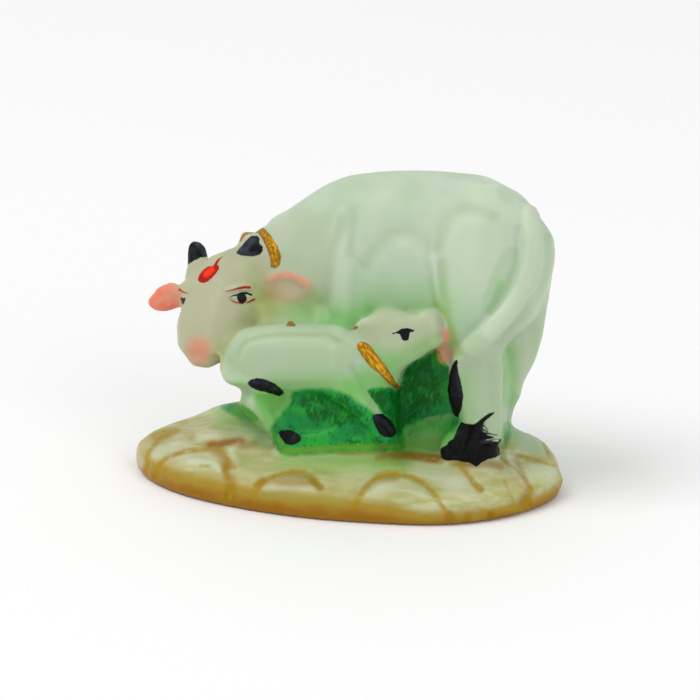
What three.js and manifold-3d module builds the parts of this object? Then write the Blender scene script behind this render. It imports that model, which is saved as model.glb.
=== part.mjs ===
// A small cast resin statue: a standing cow turns her head back to her suckling calf,
// both in one casting with the rocky oval base below them. Millimetres, +Z up, and the
// origin at the middle of the flat underside. The cow's spine runs along X, her rump at +X.
import * as THREE from "three";
import { mergeVertices } from "three/addons/utils/BufferGeometryUtils.js";
import Module from "manifold-3d";

const wasm = await Module();
wasm.setup();

// Driving dimensions.
const BASE_LENGTH = 74.6;
const BASE_WIDTH = 41.6;
const RIM_HEIGHT = 5.2;
const GROUND_HEIGHT = 7.5;
const COW_HEIGHT = 47;
const COLLAR_WIDTH = 1.6;
const COLLAR_PROUD = 0.5;

// The figures are drawn on a grid this high from the ground to the cow's back, so one
// unit of the grid is one millimetre at the nominal height.
const GRID_HEIGHT = 47;
const GRID = COW_HEIGHT / GRID_HEIGHT;

// Where the grid's origin stands on the base, off the middle of its outline.
const FIGURES_X = 1.05;
const FIGURES_Y = -1.2;

const RESIN = { color: 0xcfe3c4, roughness: 0.45, metalness: 0 };

const X_AXIS = new THREE.Vector3(1, 0, 0);
const Y_AXIS = new THREE.Vector3(0, 1, 0);
const Z_AXIS = new THREE.Vector3(0, 0, 1);

// Signed volume of an indexed geometry, to find out which way its faces point.
function signedVolume(positions, index) {
  const [a, b, c] = [new THREE.Vector3(), new THREE.Vector3(), new THREE.Vector3()];
  let sum = 0;
  for (let i = 0; i < index.length; i += 3) {
    a.fromArray(positions, index[i] * 3);
    b.fromArray(positions, index[i + 1] * 3);
    c.fromArray(positions, index[i + 2] * 3);
    sum += a.dot(b.cross(c)) / 6;
  }
  return sum;
}

// A closed three.js geometry as a solid that can be joined and cut.
function solid(geometry) {
  const bare = geometry.clone();
  bare.deleteAttribute("normal");
  bare.deleteAttribute("uv");
  const merged = mergeVertices(bare, 1e-4);
  const vertProperties = merged.attributes.position.array;
  const triVerts = new Uint32Array(merged.index.array);
  if (signedVolume(vertProperties, triVerts) < 0) triVerts.reverse();
  return new wasm.Manifold(new wasm.Mesh({ numProp: 3, vertProperties, triVerts }));
}

// A closed skin from rings of points, each ring as long as the next, with a pole at each end.
function skin(rings, firstPole, lastPole) {
  const sides = rings[0].length;
  const index = [];
  for (let r = 0; r < rings.length - 1; r++) {
    for (let s = 0; s < sides; s++) {
      const a = r * sides + s;
      const b = r * sides + ((s + 1) % sides);
      index.push(a, b, b + sides, a, b + sides, a + sides);
    }
  }
  const first = rings.length * sides;
  const lastRing = (rings.length - 1) * sides;
  for (let s = 0; s < sides; s++) {
    const next = (s + 1) % sides;
    index.push(first, next, s, first + 1, lastRing + s, lastRing + next);
  }
  const geometry = new THREE.BufferGeometry().setFromPoints([...rings.flat(), firstPole, lastPole]);
  return geometry.setIndex(index);
}

// One ring: a rounded outline round a centre. Squareness 2 is an ellipse, more is boxier.
function ring(centre, wideAxis, tallAxis, wide, tall, sides, squareness) {
  const points = [];
  for (let s = 0; s < sides; s++) {
    const t = (s / sides) * Math.PI * 2;
    const [c, n] = [Math.cos(t), Math.sin(t)];
    const u = Math.sign(c) * Math.abs(c) ** (2 / squareness) * wide;
    const v = Math.sign(n) * Math.abs(n) ** (2 / squareness) * tall;
    points.push(centre.clone().addScaledVector(wideAxis, u).addScaledVector(tallAxis, v));
  }
  return points;
}

// A limb, neck or trunk, smooth between its stations. Each station is [x, y, z, half width,
// half height]: the width runs along `side`, the height square to it and to the limb's run.
// Both ends are domed, by `dome` times the end's smaller half size.
function limb(stations, options = {}) {
  const { side = Y_AXIS, sides = 14, steps = 2, squareness = 2, dome = 0.7 } = options;
  const path = new THREE.CatmullRomCurve3(stations.map(([x, y, z]) => new THREE.Vector3(x, y, z)));
  const girth = new THREE.CatmullRomCurve3(
    stations.map(([, , , wide, tall]) => new THREE.Vector3(wide, tall, 0)),
  );
  const shifted = (u, out) => path.getPoint(u).addScaledVector(path.getTangent(u), out);
  const section = (u, out = 0, shrink = 1) => {
    const along = path.getTangent(u);
    const wideAxis = side.clone().projectOnPlane(along).normalize();
    const tallAxis = along.clone().cross(wideAxis);
    const { x: wide, y: tall } = girth.getPoint(u);
    return ring(shifted(u, out), wideAxis, tallAxis, wide * shrink, tall * shrink, sides, squareness);
  };
  const reach = (u) => Math.min(girth.getPoint(u).x, girth.getPoint(u).y) * dome;
  const count = (stations.length - 1) * steps;
  const rings = [section(0, -reach(0) * Math.SQRT1_2, Math.SQRT1_2)];
  for (let k = 0; k <= count; k++) rings.push(section(k / count));
  rings.push(section(1, reach(1) * Math.SQRT1_2, Math.SQRT1_2));
  return solid(skin(rings, shifted(0, -reach(0)), shifted(1, reach(1))));
}

// An egg: a sphere stretched to three half sizes, turned in degrees and placed.
function egg(centre, halves, turn = [0, 0, 0], detail = 12) {
  const angles = turn.map((degrees) => THREE.MathUtils.degToRad(degrees));
  const matrix = new THREE.Matrix4().compose(
    new THREE.Vector3(...centre),
    new THREE.Quaternion().setFromEuler(new THREE.Euler(...angles)),
    new THREE.Vector3(...halves),
  );
  return solid(new THREE.SphereGeometry(1, detail, Math.round(detail * 0.6)).applyMatrix4(matrix));
}

const join = (...parts) => wasm.Manifold.union(parts.flat());

// The base's outline, as shares of its half length and half width, round from the right end:
// a free rocky shape, fullest at the back left, its front edge running back to the right.
const BASE_OUTLINE = [
  [1, 0.14],
  [0.93, 0.53],
  [0.68, 0.83],
  [0.21, 0.99],
  [-0.3, 0.98],
  [-0.64, 0.88],
  [-0.88, 0.5],
  [-1, -0.07],
  [-0.94, -0.48],
  [-0.66, -0.84],
  [-0.15, -1],
  [0.27, -0.93],
  [0.64, -0.74],
  [0.88, -0.37],
];
const BASE_SIDES = 48;

// The ground rises from the rim to the level that the figures stand on, and in low swells
// below the calf's throat and at the far hind leg: [x, y, radius, height].
const GROUND_SWELLS = [
  [9, 0, 11, 1.8],
  [24, 10, 10, 4.5],
  [-20, 13, 12, 2.4],
];

function outline() {
  const curve = new THREE.CatmullRomCurve3(
    BASE_OUTLINE.map(([x, y]) => new THREE.Vector3((x * BASE_LENGTH) / 2, (y * BASE_WIDTH) / 2, 0)),
    true,
  );
  return curve.getSpacedPoints(BASE_SIDES).slice(0, BASE_SIDES);
}

// One ring of the base, drawn in from the outline by a share of the way to the middle.
function baseRing(share, height) {
  return outline().map((point) => point.multiplyScalar(share).setZ(height(point)));
}

function groundHeight(point, share) {
  const rise = (GROUND_HEIGHT - RIM_HEIGHT) * THREE.MathUtils.smoothstep(1 - share, 0.02, 0.5);
  const swell = GROUND_SWELLS.reduce((sum, [x, y, radius, height]) => {
    const away = Math.hypot(point.x - x, point.y - y) / radius;
    return sum + height * Math.exp(-2.2 * away * away);
  }, 0);
  return RIM_HEIGHT + rise + swell * THREE.MathUtils.smoothstep(1 - share, 0, 0.3);
}

// The rim's profile: share of the outline at each share of the rim's height.
const RIM_PROFILE = [
  [0.985, 0],
  [1, 0.25],
  [1, 0.55],
  [0.985, 0.82],
  [0.95, 1],
];
const TOP_SHARES = [0.87, 0.76, 0.62, 0.46, 0.28];

function baseSolid() {
  const rim = RIM_PROFILE.map(([share, rise]) => baseRing(share, () => RIM_HEIGHT * rise));
  const top = TOP_SHARES.map((share) => baseRing(share, (point) => groundHeight(point, share)));
  const underside = new THREE.Vector3(0, 0, 0);
  const crown = new THREE.Vector3(0, 0, groundHeight(underside, 0));
  return solid(skin([...rim, ...top], underside, crown));
}

// The cow's body in one run: rump, flank, barrel, shoulder, and the neck that bends back
// towards the calf.
const COW_BODY = [
  [29.8, 6.4, 31, 7.6, 10.4],
  [27, 6.2, 31.4, 9.2, 13.2],
  [21.5, 6, 31.2, 9.8, 15.1],
  [14, 6, 31.4, 9, 15.2],
  [6, 6, 31, 9.6, 15.6],
  [-1, 6, 30.7, 9.8, 14.7],
  [-7.6, 6.2, 29.2, 8.5, 11.7],
  [-13, 5.4, 26.9, 6.8, 9.4],
  [-17, 3.6, 25, 5.2, 7.4],
  [-19.8, 1.2, 23.6, 4.4, 6],
];
const COW_BODY_OPTIONS = { sides: 24, squareness: 2.3, dome: 0.4 };

// The loose skin below the throat runs back to the chest.
function cowDewlap() {
  return limb(
    [
      [-19, 0.6, 19, 2.2, 3],
      [-14, 3.4, 17, 3.2, 5.6],
      [-7, 5.4, 14.6, 4.4, 7.4],
      [-2, 6, 13.6, 5, 8],
    ],
    { sides: 12, steps: 1 },
  );
}

// The near hind leg shows in full. The far one stands a little further back.
function hindLegs() {
  const near = limb(
    [
      [22.6, 4.8, 43.6, 4.2, 5],
      [22.5, 2.7, 39.6, 5, 6.4],
      [22, 0.7, 32.5, 5.4, 6.6],
      [21.5, -0.6, 26, 4.6, 5.1],
      [22, -0.9, 21, 3.8, 4],
      [23.2, -1, 18, 3.6, 3.9],
      [23.9, -1.1, 9, 3.3, 3.7],
      [23.6, -1.4, -2, 3.5, 3.9],
    ],
    { sides: 12, squareness: 2.2 },
  );
  const far = limb(
    [
      [24.4, 10.4, 32, 4.6, 7.6],
      [24.8, 11.5, 25, 4.4, 7],
      [25.3, 12, 18.5, 3.8, 5.4],
      [24.8, 12.2, 12.5, 3.3, 3.9],
      [23.2, 12.4, 6, 3, 3.1],
      [22, 12.6, -2, 3, 3.1],
    ],
    { sides: 12 },
  );
  return [near, far];
}

// The forelegs swell into the shoulder above, which shows as a long upright fold.
function foreLegs() {
  const leg = (y, out) =>
    limb(
      [
        [0, y - out * 4.4, 41, 2.4, 3],
        [0.6, y - out, 35, 3, 3.6],
        [1.4, y, 25, 3.1, 3.6],
        [1.4, y, 11, 2.6, 2.8],
        [1, y, -2, 2.7, 3],
      ],
      { sides: 10 },
    );
  return [leg(-1.6, -1), leg(13.6, 1)];
}

function hooves() {
  const hoof = (x, y, length, wide, high) =>
    limb(
      [
        [x, y, high, wide * 0.9, wide],
        [x - length * 0.55, y - 0.5, high * 0.62, wide, wide * 0.95],
        [x - length, y - 0.9, high * 0.3, wide * 0.86, wide * 0.6],
      ],
      { sides: 10, steps: 1, squareness: 2.4, dome: 0.3 },
    );
  return [
    hoof(23.4, -1.6, 5.2, 3.8, 4),
    hoof(22, 12.6, 3, 3.2, 2.6),
    hoof(1, -1, 2.4, 2.9, 2.4),
    hoof(1, 13, 2.4, 2.9, 2.4),
  ];
}

// The tail hangs down the rump and sweeps forward across the near leg to its dark tuft.
function cowTail() {
  const tail = limb(
    [
      [27.2, 4.6, 43.4, 1.7, 1.7],
      [30.6, 3.2, 40.2, 2, 2],
      [31, 2, 34.6, 2.1, 2.1],
      [29.9, 0.4, 31, 2.1, 2.1],
      [27.2, -2.6, 26.5, 2.1, 2.1],
      [24.2, -4.6, 21.8, 2, 2],
      [20.7, -4.5, 18.5, 1.4, 1.4],
    ],
    { sides: 8, side: X_AXIS },
  );
  const tuft = limb(
    [
      [20.9, -4.4, 18.8, 0.8, 0.8],
      [20.2, -3.9, 15.4, 1.3, 1.5],
      [20, -3.6, 12, 1.4, 1.5],
      [20.3, -3.2, 8.6, 0.6, 0.6],
    ],
    { sides: 8, side: X_AXIS },
  );
  return [tail, tuft];
}

// The head has a frame of its own: x forward along the gaze, y to the cow's left, z up.
const HEAD_CENTRE = [-23.9, -0.6, 23.7];
const HEAD_YAW = 258;
const HEAD_ROLL = 12;

function headFrame() {
  const yaw = new THREE.Matrix4().makeRotationZ(THREE.MathUtils.degToRad(HEAD_YAW));
  const roll = new THREE.Matrix4().makeRotationX(THREE.MathUtils.degToRad(HEAD_ROLL));
  return new THREE.Matrix4().makeTranslation(...HEAD_CENTRE).multiply(yaw).multiply(roll);
}

function cowHead() {
  const skull = limb(
    [
      [-3.6, 0, 4, 5, 3.6],
      [-2.2, 0, 1.4, 6.2, 4.9],
      [-0.4, 0, -1.4, 6.9, 5.3],
      [2, 0, -4.4, 7, 5.4],
      [4.3, 0, -7, 6.1, 4.5],
      [5.6, 0, -8.9, 4.6, 3.4],
      [6.2, 0, -9.7, 3.3, 2.4],
    ],
    { sides: 16, squareness: 2.3, dome: 0.5 },
  );
  const poll = egg([-5, 2.6, 5.2], [2.4, 3.4, 2.4], [0, 0, 0], 10);
  const nape = egg([-6.4, 4.2, 7.2], [2, 2.2, 1.9], [0, 0, 0], 8);
  const cheek = egg([-2.6, 5.6, -1.6], [4.6, 4.2, 5.4], [0, 0, 0], 12);
  const pieces = [skull, poll, nape, cheek, ...horns()];
  for (const side of [-1, 1]) {
    pieces.push(egg([2, 5.2 * side, 1.8], [1.1, 2.2, 0.6], [0, 20, 35 * side], 8));
    pieces.push(egg([7.1, 2.7 * side, -7.2], [1.5, 1.6, 1.4], [0, 30, 0], 8));
    pieces.push(ear(side));
  }
  return pieces.map((piece) => piece.transform(headFrame().elements));
}

// Two short blunt horns. The near one leans out over the neck.
function horns() {
  const far = [
    [-3.2, -5.6, 3, 2, 2],
    [-4.2, -6, 5.4, 2, 2],
    [-5.1, -6.5, 7.2, 1.5, 1.5],
    [-5.5, -6.8, 8, 0.9, 0.9],
  ];
  const near = [
    [-3.8, 5.4, 5.8, 1.9, 1.9],
    [-4, 6.1, 7.2, 2, 2],
    [-4.4, 6.9, 8.1, 1.7, 1.7],
    [-4.7, 7.3, 8.5, 1.2, 1.2],
  ];
  return [far, near].map((stations) => limb(stations, { sides: 8, side: X_AXIS, dome: 0.8 }));
}

// The far ear stands out past the cheek. The near one lies back on the neck.
function ear(side) {
  const sweep = side < 0 ? [-0.4, 0.4, 0.7, 0.6] : [-3.6, -4.6, -5.6, -6.2];
  return limb(
    [
      [sweep[0], 5 * side, 0.6, 1.5, 1],
      [sweep[1], 8.2 * side, 0.6, 2.5, 1.1],
      [sweep[2], 11.4 * side, 0.5, 2.5, 0.9],
      [sweep[3], 13.4 * side, 0.4, 1.4, 0.7],
    ],
    { sides: 8, side: Z_AXIS },
  );
}

function cowUdder() {
  const teat = (x, y, z) => egg([x, y, z], [1, 1, 1.9], [0, 0, 0], 8);
  return [egg([18, 3, 19.5], [4.6, 5, 4.6], [0, 0, 0], 10), teat(17.4, -2.6, 21.4), teat(16.6, -2.2, 18), teat(18, -2.2, 17)];
}

// Solid resin fills the space under the belly, set back from the legs on both sides.
function bellyWeb() {
  return limb(
    [
      [-3, 6, 9, 4.6, 11],
      [4, 6, 9, 6, 12.4],
      [13, 6, 9, 6.6, 13],
      [24, 6, 9, 5.6, 13],
    ],
    { sides: 12, steps: 1, squareness: 3.4, dome: 0.4 },
  );
}

function calfTrunk() {
  return limb(
    [
      [-15.9, -7.2, 15.2, 4.2, 4.9],
      [-13.2, -7.2, 16, 5.1, 5.8],
      [-8, -7, 16.6, 5.3, 5.7],
      [-1, -6.6, 16.6, 5.1, 5.8],
      [4, -6.2, 15.6, 4.5, 5.4],
      [7.4, -6, 14.4, 3.4, 4.2],
    ],
    { sides: 16, squareness: 2.5 },
  );
}

const CALF_NECK = [
  [1, -6.4, 13.4, 4.4, 6],
  [5, -6, 16, 4.2, 5.6],
  [8, -5.6, 19, 3.7, 4.8],
  [10, -5.3, 21, 3.3, 4],
];

function calfHead() {
  const neck = limb(CALF_NECK);
  const skull = limb(
    [
      [4.8, -5.5, 20.6, 3, 3.4],
      [8, -5.4, 21.1, 3.6, 4.8],
      [11.5, -5.2, 21.3, 3.5, 4.3],
      [14.5, -4.8, 22.6, 2.8, 3.6],
      [17, -4.5, 23.5, 2.4, 3.1],
    ],
    { sides: 14, squareness: 2.3, dome: 0.5 },
  );
  const ear = (y, spread) =>
    limb(
      [
        [7.6, y, 24.6, 1.1, 0.9],
        [5.4, y + spread * 0.7, 24.4, 1.2, 0.7],
        [3.8, y + spread, 23.6, 0.7, 0.5],
      ],
      { sides: 8, side: Z_AXIS },
    );
  return [neck, skull, ear(-7.6, -1), ear(-3.2, 1.2), egg([8.6, -5.2, 24.7], [2.4, 2.2, 1.4], [0, 0, 0], 10)];
}

function calfLegs() {
  const hind = limb(
    [
      [-15.6, -9, 14, 3, 4.6],
      [-14, -9.2, 9, 2.6, 3.4],
      [-10.8, -9.2, 5, 1.9, 2.2],
      [-8.8, -9.2, 2.4, 1.5, 1.8],
      [-8, -9.2, 0.8, 1.5, 1.7],
    ],
    { sides: 10 },
  );
  const fore = limb(
    [
      [1.6, -8.8, 13.4, 2.6, 3.6],
      [5, -9.2, 10.4, 1.9, 2.4],
      [7.6, -9.3, 7.6, 1.5, 1.5],
      [9, -9.3, 5.6, 1.6, 1.8],
      [9.8, -9.3, 4.4, 1.4, 1.6],
    ],
    { sides: 10 },
  );
  const tail = limb(
    [
      [-16.6, -8, 20, 1.1, 1.1],
      [-19.4, -9.4, 16.6, 1, 1],
      [-18.2, -11.4, 13.6, 1.1, 1],
      [-14, -12.5, 12.6, 1.3, 1],
      [-9.6, -12.5, 11.2, 0.8, 0.7],
    ],
    { sides: 8, side: Z_AXIS },
  );
  return [hind, fore, tail];
}

// The calf stands in relief against a grassy bank.
function calfBank() {
  const ledge = limb(
    [
      [-8.6, -6, 0.2, 5.4, 3.2],
      [-1, -5.4, 0.8, 5.4, 3.6],
      [7, -4.8, 1.4, 5, 4],
    ],
    { sides: 14, steps: 1, squareness: 3, dome: 0.5 },
  );
  const wall = limb(
    [
      [-10.6, -4.4, 6, 4.6, 6.4],
      [-3, -4.2, 6, 4.8, 7],
      [8, -3.6, 6.4, 4.6, 7.4],
    ],
    { sides: 14, steps: 1, squareness: 3, dome: 0.5 },
  );
  return [ledge, wall];
}

// A collar: a band that stands a little proud of the neck, where a slab through `centre`,
// square to `normal`, cuts a sleeve round it.
function collar(neck, neckOptions, centre, normal) {
  const sleeve = limb(
    neck.map(([x, y, z, wide, tall]) => [x, y, z, wide + COLLAR_PROUD, tall + COLLAR_PROUD]),
    neckOptions,
  );
  const facing = new THREE.Vector3(...normal).normalize();
  const slab = new THREE.BoxGeometry(COLLAR_WIDTH, COW_HEIGHT, COW_HEIGHT);
  slab.applyQuaternion(new THREE.Quaternion().setFromUnitVectors(X_AXIS, facing));
  return sleeve.intersect(solid(slab.translate(...centre)));
}

function collars() {
  return [
    collar(COW_BODY, COW_BODY_OPTIONS, [-15.6, 3.7, 26.7], [0.76, 0.62, 0.19]),
    collar(CALF_NECK, {}, [6.8, -5.8, 17.7], [0.68, 0.09, 0.73]),
  ];
}

function figures() {
  const body = [limb(COW_BODY, COW_BODY_OPTIONS), cowDewlap(), ...cowUdder(), bellyWeb()];
  const limbs = [hindLegs(), foreLegs(), hooves(), cowTail()].flat();
  const calf = [calfTrunk(), ...calfHead(), ...calfLegs(), ...calfBank()];
  const all = join(body, limbs, cowHead(), calf, collars());
  return all.scale([GRID, GRID, GRID]).translate([FIGURES_X, FIGURES_Y, GROUND_HEIGHT]);
}

function statueGeometry() {
  const whole = figures().add(baseSolid());
  const below = new THREE.BoxGeometry(2 * BASE_LENGTH, 2 * BASE_WIDTH, COW_HEIGHT);
  const mesh = whole.subtract(solid(below.translate(0, 0, -COW_HEIGHT / 2))).getMesh();
  const geometry = new THREE.BufferGeometry();
  geometry.setAttribute("position", new THREE.BufferAttribute(new Float32Array(mesh.vertProperties), 3));
  geometry.setIndex(new THREE.BufferAttribute(new Uint32Array(mesh.triVerts), 1));
  geometry.computeVertexNormals();
  return geometry;
}

const statue = new THREE.Mesh(statueGeometry(), new THREE.MeshStandardMaterial(RESIN));
statue.name = "cow_and_calf_statue";

const part = new THREE.Group();
part.add(statue);

export default part;
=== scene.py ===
"""Looks of a small cast resin statue: a cow turns her head to her suckling calf.

Every object is in metres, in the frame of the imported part: +Z up, the origin at the middle
of the flat underside of the base. Sizes in this script are in millimetres, and marks that
were measured across the line of sight are in pixels of the 700 by 700 reference frame.
"""

import logging
import math
from dataclasses import dataclass, field
from enum import Enum
from functools import cached_property

import bpy
import numpy as np
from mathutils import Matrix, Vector


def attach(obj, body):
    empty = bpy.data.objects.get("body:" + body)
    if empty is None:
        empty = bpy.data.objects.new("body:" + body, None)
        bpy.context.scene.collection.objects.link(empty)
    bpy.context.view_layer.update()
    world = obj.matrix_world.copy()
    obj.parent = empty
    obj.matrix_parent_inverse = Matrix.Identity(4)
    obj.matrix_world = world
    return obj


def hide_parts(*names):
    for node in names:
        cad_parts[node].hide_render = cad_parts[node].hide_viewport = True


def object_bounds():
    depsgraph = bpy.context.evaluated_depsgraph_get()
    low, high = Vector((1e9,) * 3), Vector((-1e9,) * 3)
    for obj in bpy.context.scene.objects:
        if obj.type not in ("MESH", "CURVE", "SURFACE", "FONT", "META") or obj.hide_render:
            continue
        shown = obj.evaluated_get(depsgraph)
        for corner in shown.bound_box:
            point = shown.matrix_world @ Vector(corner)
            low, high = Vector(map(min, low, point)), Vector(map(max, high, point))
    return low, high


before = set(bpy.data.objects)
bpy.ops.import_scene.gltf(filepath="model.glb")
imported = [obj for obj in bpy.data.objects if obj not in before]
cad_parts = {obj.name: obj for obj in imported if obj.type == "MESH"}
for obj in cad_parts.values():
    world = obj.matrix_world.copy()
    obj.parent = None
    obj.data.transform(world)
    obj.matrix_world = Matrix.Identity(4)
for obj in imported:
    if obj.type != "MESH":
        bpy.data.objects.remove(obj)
CAD_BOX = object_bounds()

MM = 0.001
NODE = "cow_and_calf_statue"

# Where the figures' own grid starts, as in the part's source.
FIGURES = (1.05, -1.2, 7.5)

Point = tuple[float, float]
Points = tuple[Point, ...]
Place = tuple[float, float, float]
Colour = tuple[float, float, float]
Socket = bpy.types.NodeSocket

log = logging.getLogger("statue")


def soft_step(low: float, high: float, value: np.ndarray) -> np.ndarray:
    """Rises smoothly from 0 at low to 1 at high.

    Args:
        low: Where the rise starts.
        high: Where it ends; below low for a fall.
        value: Where to read it.

    Returns:
        The share of the rise at each value.
    """
    share = np.clip((value - low) / (high - low), 0.0, 1.0)
    return share * share * (3.0 - 2.0 * share)


def figure(x: float, y: float, z: float) -> np.ndarray:
    """Turns a place on the figures' grid into one in the part's frame."""
    return np.array([x, y, z]) + np.array(FIGURES)


@dataclass(frozen=True)
class SightPlane:
    """The plane square to the reference view, in which marks and outlines are measured."""

    azimuth: float = 20.0
    elevation: float = 18.0
    distance: float = 500.0
    target: Place = (1.05, -1.2, 24.0)
    focal: float = 2940.0
    middle: float = 350.0
    frame_side: int = 700

    def axes(self) -> tuple[np.ndarray, np.ndarray, np.ndarray]:
        """Gives the plane's directions.

        Returns:
            Its right, its up and the way back to the eye, as unit vectors.
        """
        turn, rise = math.radians(self.azimuth), math.radians(self.elevation)
        back = np.array([math.sin(turn) * math.cos(rise), -math.cos(turn) * math.cos(rise), math.sin(rise)])
        right = np.array([math.cos(turn), math.sin(turn), 0.0])
        return right, np.cross(back, right), back

    def scale(self) -> float:
        """Gives how many pixels one millimetre takes at the target."""
        return self.focal / self.distance

    def project(self, places: np.ndarray) -> tuple[np.ndarray, np.ndarray]:
        """Projects places to the reference frame.

        Args:
            places: Places in millimetres, one in each row.

        Returns:
            Their pixels, and how much nearer to the eye than the target each one is.
        """
        right, up, back = self.axes()
        away = places - np.array(self.target)
        nearness = away @ back
        scale = self.focal / (self.distance - nearness)
        pixels = np.stack([self.middle + scale * (away @ right), self.middle - scale * (away @ up)], axis=1)
        return pixels, nearness


SIGHT = SightPlane()
FAR_OUTSIDE = -60.0

# How near to the eye a mark's surface lies, in millimetres before the target.
ANY_DEPTH = (-99.0, 99.0)
FAR_EAR = (-99.0, -6.5)
FAR_LEG = (-99.0, 5.0)
FAR_GROUND = (-99.0, -8.0)
BEHIND_JAW = (-99.0, 8.8)


def run_depth(pixels: np.ndarray, points: Points, widths: tuple[float, ...]) -> np.ndarray:
    """Measures how far inside a stroke of changing width places are.

    Args:
        pixels: The places, one in each row.
        points: The stroke's middle line.
        widths: Its half width at each point.

    Returns:
        The distance to the stroke's edge, below zero outside it.
    """
    deepest = np.full(len(pixels), FAR_OUTSIDE)
    for k in range(len(points) - 1):
        start, run = np.array(points[k]), np.array(points[k + 1]) - np.array(points[k])
        share = np.clip((pixels - start) @ run / max(run @ run, 1e-9), 0.0, 1.0)
        away = np.linalg.norm(pixels - start - share[:, None] * run, axis=1)
        deepest = np.maximum(deepest, widths[k] + (widths[k + 1] - widths[k]) * share - away)
    return deepest


@dataclass(frozen=True)
class Trace:
    """A line of places in the reference frame, written as pairs of x,y pixels."""

    trace: str

    @cached_property
    def points(self) -> Points:
        """Reads the places."""
        return tuple(tuple(float(number) for number in pair.split(",")) for pair in self.trace.split())


@dataclass(frozen=True)
class Stroke(Trace):
    """A stroke of a brush or chisel, seen square to the line of sight."""

    width: float
    amount: float = 1.0
    soft: float = 5.0
    end_width: float | None = None
    between: Point = ANY_DEPTH
    off_calf: bool = False

    def widths(self) -> tuple[float, ...]:
        """Gives the half width at each point.

        Returns:
            One half width for each point.
        """
        last = self.width if self.end_width is None else self.end_width
        steps = max(len(self.points) - 1, 1)
        return tuple(self.width + (last - self.width) * k / steps for k in range(steps + 1))

    def depth(self, pixels: np.ndarray) -> np.ndarray:
        """Measures how far inside the mark places are, below zero outside it."""
        return run_depth(pixels, self.points, self.widths())


@dataclass(frozen=True)
class Patch(Trace):
    """A closed area, seen square to the line of sight."""

    amount: float = 1.0
    soft: float = 5.0
    between: Point = ANY_DEPTH
    off_calf: bool = False

    def depth(self, pixels: np.ndarray) -> np.ndarray:
        """Measures how far inside the area places are.

        Args:
            pixels: The places, one in each row.

        Returns:
            The distance to the edge, below zero outside.
        """
        within = np.zeros(len(pixels), bool)
        x, y = pixels[:, 0], pixels[:, 1]
        ring = self.points + self.points[:1]
        for (x0, y0), (x1, y1) in zip(ring, ring[1:]):
            slope = (x1 - x0) / (y1 - y0 if y1 != y0 else 1e-9)
            within ^= ((y0 > y) != (y1 > y)) & (x < x0 + (y - y0) * slope)
        edge = -run_depth(pixels, ring, (0.0,) * len(ring))
        return np.where(within, edge, -edge)


Mark = Stroke | Patch


# The calf's outline, which parts its paint from that of the cow behind it.
CALF_OUTLINE = Patch("222,375.5 224,360 230,344 239,333 246,329 272,326 298,325 333,326 341,328 "
                     "349.5,331 352,332 358,325 360.5,320 371,317.5 375,311 382,309.5 396,310 401,311 "
                     "406,315 413,316 419,315 425,311 432,308 438,310 443,317 447,328 442,333 445,341 "
                     "443,344 427,354 413,363 405,368.5 404,376 406,385 400,389 398,436 384,437 340,395 "
                     "300,395 281,449 262,419 246,403 237,386", 1.0, 2.5)


@dataclass(frozen=True)
class Pull:
    """A pull on the clay: right, down and towards the eye, strongest at its centre."""

    centre: Point
    radii: Point
    move: Place
    between: Point = ANY_DEPTH


@dataclass(frozen=True)
class Fill:
    """Clay filled in up to a slope: as near to the eye as this at its top and at its foot."""

    area: Patch
    top: Point
    foot: Point


@dataclass(frozen=True)
class Rub:
    """A place that is rubbed smooth."""

    centre: Point
    radii: Point
    rounds: int
    between: Point = ANY_DEPTH


@dataclass(frozen=True)
class Rod:
    """A round rod in space, which marks what the reference view doesn't reach."""

    start: tuple[float, ...]
    end: tuple[float, ...]
    radius: float
    amount: float = 1.0
    soft: float = 1.0
    on_head: bool = False

    def depth(self, places: np.ndarray) -> np.ndarray:
        """Measures how far inside the rod places are, in millimetres.

        Args:
            places: Places in millimetres, one in each row.

        Returns:
            The depth, below zero outside.
        """
        move = HEAD.place if self.on_head else (lambda place: figure(*place))
        start, end = move(self.start), move(self.end)
        run = end - start
        share = np.clip((places - start) @ run / max(run @ run, 1e-9), 0.0, 1.0)
        return self.radius - np.linalg.norm(places - start - share[:, None] * run, axis=1)


@dataclass(frozen=True)
class HeadFrame:
    """The cow's head: forward along her gaze, to her left, and up."""

    centre: Place = (-23.9, -0.6, 23.7)
    yaw: float = 258.0
    roll: float = 12.0

    def axes(self) -> np.ndarray:
        """Gives the head's three axes.

        Returns:
            Forward, left and up, one in each row.
        """
        yaw, roll = math.radians(self.yaw), math.radians(self.roll)
        forward = np.array([math.cos(yaw), math.sin(yaw), 0.0])
        level = np.array([-math.sin(yaw), math.cos(yaw), 0.0])
        up = np.array([0.0, 0.0, 1.0])
        return np.array([
            forward,
            level * math.cos(roll) + up * math.sin(roll),
            up * math.cos(roll) - level * math.sin(roll),
        ])

    def place(self, local: tuple[float, ...]) -> np.ndarray:
        """Turns a place on the head into one in the part's frame."""
        return figure(*self.centre) + np.array(local) @ self.axes()


HEAD = HeadFrame()


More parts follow.
